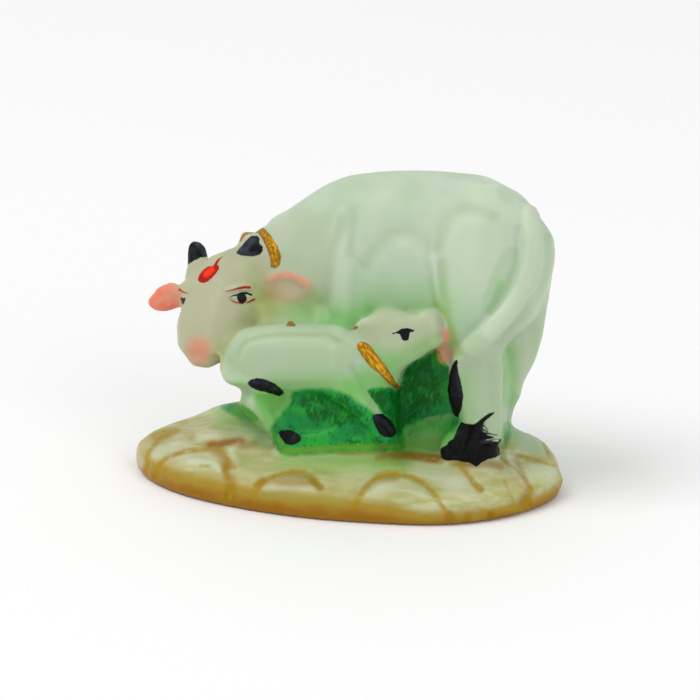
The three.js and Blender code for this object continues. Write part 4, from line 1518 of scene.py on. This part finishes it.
@dataclass(frozen=True)
class PaintedResin:
    """Milky light green cast resin with airbrushed and brushed colours, painted highlights and painted shade
    among them.
    """

    resin: Colour = (186, 202, 181)
    cloud: Colour = (176, 196, 168)
    # The figures' resin near the ground, a painted shade of their lower parts.
    low_resin_shade: Colour = (168, 188, 155)
    cream: Colour = (175, 175, 143)
    # Pale tone, and the colour of the painted highlights.
    pale_and_highlight: Colour = (208, 217, 196)
    # Olive tone, laid mostly as painted shade in the folds.
    leaf: Colour = (104, 184, 76)
    olive_and_shade: Colour = (148, 160, 88)
    ground: Colour = (188, 187, 140)
    ground_cloud: Colour = (168, 166, 100)
    ochre: Colour = (146, 102, 2)
    rim: Colour = (162, 134, 34)
    rim_foot: Colour = (148, 98, 4)
    green: Colour = (40, 160, 56)
    deep_green: Colour = (5, 90, 22)
    blue_green: Colour = (24, 138, 66)
    moss: Colour = (106, 148, 40)
    pink: Colour = (230, 106, 86)
    brown: Colour = (164, 132, 8)
    gold: Colour = (176, 124, 16)
    # Gold's deeper streaks and the painted shade at the collars' edges, then the collars' painted highlight.
    deep_gold_and_shade: Colour = (104, 60, 2)
    gold_highlight: Colour = (226, 178, 52)
    black: Colour = (3, 4, 5)
    # The grey of a painted sheen on the black.
    sheen_grey: Colour = (17, 18, 23)
    glint: Colour = (92, 98, 124)
    red: Colour = (166, 2, 2)
    orange: Colour = (232, 52, 2)
    ink: Colour = (12, 14, 18)
    milk_depth: float = 2.6
    milkiness: float = 0.75
    milk_reach: Place = (0.9, 1.0, 0.8)
    refraction: float = 1.5
    shine: float = 0.14
    smoothest: float = 0.3
    wear: float = 0.14
    relief: float = 0.12
    relief_strength: float = 0.6
    low_height: float = 20.0
    high_height: float = 46.0

    def build(self) -> bpy.types.Material:
        """Makes the material.

        Returns:
            The material, ready for the casting.
        """
        sheet = NodeSheet("painted_resin")
        colour = self.airbrushed(sheet, self.cast(sheet))
        colour, masks = self.brushed(sheet, colour)
        shader = sheet.shader
        sheet.feed(shader.inputs["Base Color"], colour)
        self.gloss(sheet, masks)
        milk = sheet.math("MULTIPLY_ADD", masks["opaque"], -0.8 * self.milkiness, self.milkiness)
        sheet.feed(shader.inputs["Subsurface Weight"], milk)
        shader.inputs["Subsurface Radius"].default_value = self.milk_reach
        shader.inputs["Subsurface Scale"].default_value = self.milk_depth * MM
        shader.inputs["IOR"].default_value = self.refraction
        shader.inputs["Specular IOR Level"].default_value = self.shine
        return sheet.material

    def cast(self, sheet: NodeSheet) -> Socket:
        """Colours the bare resin of the figures, painted deeper towards the ground as a shade of their lower
        parts, and of the base.

        Args:
            sheet: The material's nodes.

        Returns:
            The colour.
        """
        cloud = sheet.step(sheet.noise(9.0, 2.0, (1.0, 1.0, 1.6)), 0.38, 0.66)
        resin = sheet.mix(cloud, self.resin, self.cloud)
        # Painted shade: the figures' resin grows deeper towards the ground.
        high = sheet.step(sheet.height(), self.low_height * MM, self.high_height * MM)
        resin = sheet.mix(high, self.low_resin_shade, resin)
        resin = sheet.mix(sheet.attribute("cream"), resin, self.cream)
        swirl = sheet.step(sheet.noise(5.0, 3.0, (1.6, 1.6, 0.6), 3.1, (0, 0, 0.5)), 0.4, 0.64)
        ground = sheet.mix(swirl, self.ground, self.ground_cloud)
        streak = sheet.step(sheet.noise(0.9, 3.0, (7.0, 1.5, 1.0), 1.9, (0.0, 0.0, 0.12)), 0.45, 0.7, 0.3)
        ground = sheet.mix(streak, ground, self.pale_and_highlight)
        return sheet.mix(sheet.attribute("ground"), resin, ground)

    def airbrushed(self, sheet: NodeSheet, colour: Socket) -> Socket:
        """Lays the soft sprayed colours.

        Args:
            sheet: The material's nodes.
            colour: What is laid on.

        Returns:
            The colour with them.
        """
        uneven = sheet.noise(2.4, 3.0, (1.6, 1.6, 0.8), 5.0)
        rim = sheet.attribute("rim")
        rim_edge = sheet.plus(rim, sheet.math("MULTIPLY_ADD", uneven, 0.4, -0.2))
        colour = sheet.mix(sheet.step(rim_edge, 0.05, 0.6, 0.95), colour, self.rim)
        colour = sheet.mix(sheet.step(rim_edge, 0.6, 1.05, 0.95), colour, self.rim_foot)
        # Painted highlights with pale tone, painted shade with olive tone, then leaf green.
        for name, coat in (("pale_and_highlight", self.pale_and_highlight), ("olive_and_shade", self.olive_and_shade), ("leaf", self.leaf)):
            colour = sheet.mix(sheet.attribute(name), colour, coat)
        ochre = sheet.times(sheet.attribute("ochre"), sheet.step(uneven, 0.1, 0.5))
        colour = sheet.mix(ochre, colour, self.ochre)
        return self.sprayed_green(sheet, colour)

    def sprayed_green(self, sheet: NodeSheet, colour: Socket) -> Socket:
        """Lays the mottled green of the grass bank, and the pink of ears, nose and teats.

        Args:
            sheet: The material's nodes.
            colour: What is laid on.

        Returns:
            The colour with them.
        """
        mottle = sheet.noise(1.4, 4.0, (1.0, 1.0, 1.3), 1.3)
        fleck = sheet.noise(0.42, 3.0, (0.8, 0.8, 2.6), 7.7, (0.0, 0.35, 0.0))
        blot = sheet.noise(3.6, shift=2.2)
        green = sheet.mix(sheet.step(blot, 0.4, 0.62), self.green, self.blue_green)
        pattern = sheet.plus(sheet.times(mottle, 0.45), sheet.times(fleck, 0.55))
        deep = sheet.math("MULTIPLY_ADD", sheet.attribute("deep"), 0.2, pattern)
        green = sheet.mix(sheet.step(deep, 0.48, 0.72, 0.94), green, self.deep_green)
        amount = sheet.attribute("green")
        ragged = sheet.plus(amount, sheet.math("MULTIPLY_ADD", pattern, 0.5, -0.25))
        strength = sheet.times(sheet.step(ragged, 0.12, 0.85), sheet.step(amount, 0.0, 0.3))
        colour = sheet.mix(strength, colour, green)
        moss = sheet.times(sheet.attribute("moss"), sheet.step(pattern, 0.25, 0.5))
        colour = sheet.mix(moss, colour, self.moss)
        blush = sheet.noise(1.6, shift=9.0)
        pink = sheet.times(sheet.attribute("pink"), sheet.step(blush, -0.1, 0.5))
        return sheet.mix(pink, colour, self.pink)

    def brushed(self, sheet: NodeSheet, colour: Socket) -> tuple[
            Socket, dict[str, Socket]]:
        """Lays the brushed colours.

        Args:
            sheet: The material's nodes.
            colour: What they are laid on.

        Returns:
            The colour, and the masks and patterns that the gloss needs.
        """
        ragged = sheet.noise(0.5, shift=4.0)
        wash_and_sheen = sheet.noise(1.1, 3.0, shift=6.0)
        brown = self.edge(sheet, "brown", 2.2, ragged, 1.4)
        thin = sheet.times(brown, sheet.step(wash_and_sheen, 0.1, 0.6, 0.9))
        colour = sheet.mix(thin, colour, self.brown)
        gold = self.edge(sheet, "gold", 0.6, ragged, 1.0)
        hair = sheet.noise(0.3, 3.0, (1.0, 1.0, 5.0), 8.0, (0.0, -0.68, 0.0))
        # The collars are painted lighter along their middle and deeper at their edges, a painted light and
        # shade of their round band, with a painted highlight along the middle.
        crown_light = sheet.step(sheet.attribute("gold"), -0.6, 2.0, 0.2)
        tone = sheet.math("MULTIPLY_ADD", hair, 1.1, crown_light)
        metal = sheet.mix(sheet.step(tone, 0.36, 0.84), self.deep_gold_and_shade, self.gold)
        highlight_middle = sheet.step(sheet.attribute("gold"), 1.6, 3.4)
        gold_highlight_mask = sheet.times(highlight_middle, sheet.step(hair, 0.46, 0.66, 0.75))
        metal = sheet.mix(gold_highlight_mask, metal, self.gold_highlight)
        colour = sheet.mix(gold, colour, metal)
        black = self.edge(sheet, "black", 0.6, ragged, 1.4)
        # Grey patches in the black are a painted sheen, and the glints are painted highlights.
        sheen = sheet.mix(sheet.step(wash_and_sheen, 0.5, 0.7, 0.8), self.black, self.sheen_grey)
        sheen = sheet.mix(sheet.times(sheet.attribute("glint"), wash_and_sheen), sheen, self.glint)
        colour = sheet.mix(black, colour, sheen)
        red = self.edge(sheet, "red", 0.45, ragged, 0.5)
        colour = sheet.mix(red, colour, self.red)
        colour = sheet.mix(self.edge(sheet, "orange", 1.8, ragged, 0.8), colour, self.orange)
        ink = self.edge(sheet, "ink", 0.4, ragged, 0.4)
        colour = sheet.mix(ink, colour, self.ink)
        opaque = sheet.math("MAXIMUM", sheet.math("MAXIMUM", gold, black), sheet.math("MAXIMUM", red, ink))
        for coat, share in ((thin, 0.8), (sheet.attribute("ochre"), 0.8), (sheet.attribute("green"), 0.6),
                            (sheet.attribute("rim"), 0.7), (sheet.attribute("pink"), 0.4)):
            opaque = sheet.math("MAXIMUM", opaque, sheet.times(coat, share))
        return colour, {"gold": gold, "black": black, "hair": hair, "wash_and_sheen": wash_and_sheen, "opaque": opaque}

    def edge(self, sheet: NodeSheet, coat: str, blur: float, ragged: Socket,
             reach: float) -> Socket:
        """Turns a coat's depth into its mask.

        Args:
            sheet: The material's nodes.
            coat: The coat's attribute.
            blur: The softness of the edge in pixels.
            ragged: The pattern that makes the edge uneven.
            reach: How far it shifts the edge, in pixels.

        Returns:
            1 inside the mark and 0 outside.
        """
        uneven = sheet.math("MULTIPLY_ADD", ragged, reach, -reach / 2)
        return sheet.step(sheet.plus(sheet.attribute(coat), uneven), -blur, blur)

    def gloss(self, sheet: NodeSheet, masks: dict[str, Socket]) -> None:
        """Sets how the surface shines and its finest unevenness.

        Args:
            sheet: The material's nodes.
            masks: The brushed coats' masks and patterns.
        """
        shader = sheet.shader
        worn = sheet.step(sheet.noise(2.0, 3.0, shift=11.0), 0.3, 0.7)
        rough = sheet.math("MULTIPLY_ADD", worn, self.wear, self.smoothest)
        rough = sheet.plus(rough, sheet.times(masks["black"], 0.12))
        sheet.feed(shader.inputs["Roughness"], rough)
        sheet.feed(shader.inputs["Metallic"], sheet.times(masks["gold"], 0.4))
        wave = sheet.noise(1.8, shift=12.0)
        height = sheet.times(wave, 0.35)
        hairs = sheet.times(masks["hair"], sheet.times(masks["gold"], 0.6))
        coat = sheet.times(masks["black"], sheet.math("MULTIPLY_ADD", masks["wash_and_sheen"], 0.5, 0.3))
        height = sheet.plus(sheet.plus(height, hairs), coat)
        bump = sheet.tree.nodes.new("ShaderNodeBump")
        bump.inputs["Strength"].default_value = self.relief_strength
        bump.inputs["Distance"].default_value = self.relief * MM
        sheet.feed(bump.inputs["Height"], height)
        sheet.feed(shader.inputs["Normal"], bump.outputs["Normal"])


@dataclass
class Studio:
    """The floor, the light and the camera."""

    floor_side: float = 4.0
    floor_white: float = 0.96
    surround: float = 0.66
    key_power: float = 36.0
    fill_power: float = 15.0
    panel: float = 1.6

    def build(self) -> None:
        """Sets the stage."""
        bpy.ops.object.select_all(action="DESELECT")
        bpy.ops.mesh.primitive_plane_add(size=self.floor_side)
        floor = bpy.context.object
        floor.name = "floor"
        sheet = NodeSheet("pale_floor")
        sheet.shader.inputs["Base Color"].default_value = (self.floor_white,) * 3 + (1.0,)
        sheet.shader.inputs["Roughness"].default_value = 0.7
        floor.data.materials.append(sheet.material)
        self.light("key", (-1.2, -1.2, 2.4), self.key_power)
        self.light("fill", (2.1, -1.5, 1.4), self.fill_power)
        world = bpy.data.worlds.new("studio")
        world.use_nodes = True
        background = world.node_tree.nodes["Background"]
        background.inputs["Color"].default_value = (1.0, 1.0, 1.0, 1.0)
        background.inputs["Strength"].default_value = self.surround
        bpy.context.scene.world = world
        bpy.context.scene.view_settings.view_transform = "Standard"
        self.camera()

    def light(self, name: str, place: Place, power: float) -> None:
        """Adds one soft light that faces the statue.

        Args:
            name: The light's name.
            place: Where it hangs, in metres.
            power: Its power in watts.
        """
        data = bpy.data.lights.new(name, "AREA")
        data.size = self.panel
        data.energy = power
        lamp = bpy.data.objects.new(name, data)
        lamp.location = place
        lamp.rotation_euler = (Vector(SIGHT.target) * MM - lamp.location).to_track_quat("-Z", "Y").to_euler()
        bpy.context.scene.collection.objects.link(lamp)

    def camera(self) -> None:
        """Puts the camera where the reference view was taken from."""
        data = bpy.data.cameras.new("camera")
        data.sensor_width = 36.0
        data.lens = SIGHT.focal * data.sensor_width / SIGHT.frame_side
        eye = bpy.data.objects.new("camera", data)
        back = Vector(SIGHT.axes()[2])
        eye.location = (Vector(SIGHT.target) + back * SIGHT.distance) * MM
        eye.rotation_euler = (-back).to_track_quat("-Z", "Y").to_euler()
        bpy.context.scene.collection.objects.link(eye)
        bpy.context.scene.camera = eye


def main() -> None:
    """Builds the statue and its stage."""
    logging.basicConfig(level=logging.INFO, format="%(name)s: %(message)s")
    Studio().build()
    casting = Casting().build()
    PaintWork(Skin(casting)).apply()
    casting.data.materials.append(PaintedResin().build())
    log.info("%s: %d faces", casting.name, len(casting.data.polygons))
    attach(casting, "root")
    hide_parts(NODE)


if __name__ == "__main__":
    main()
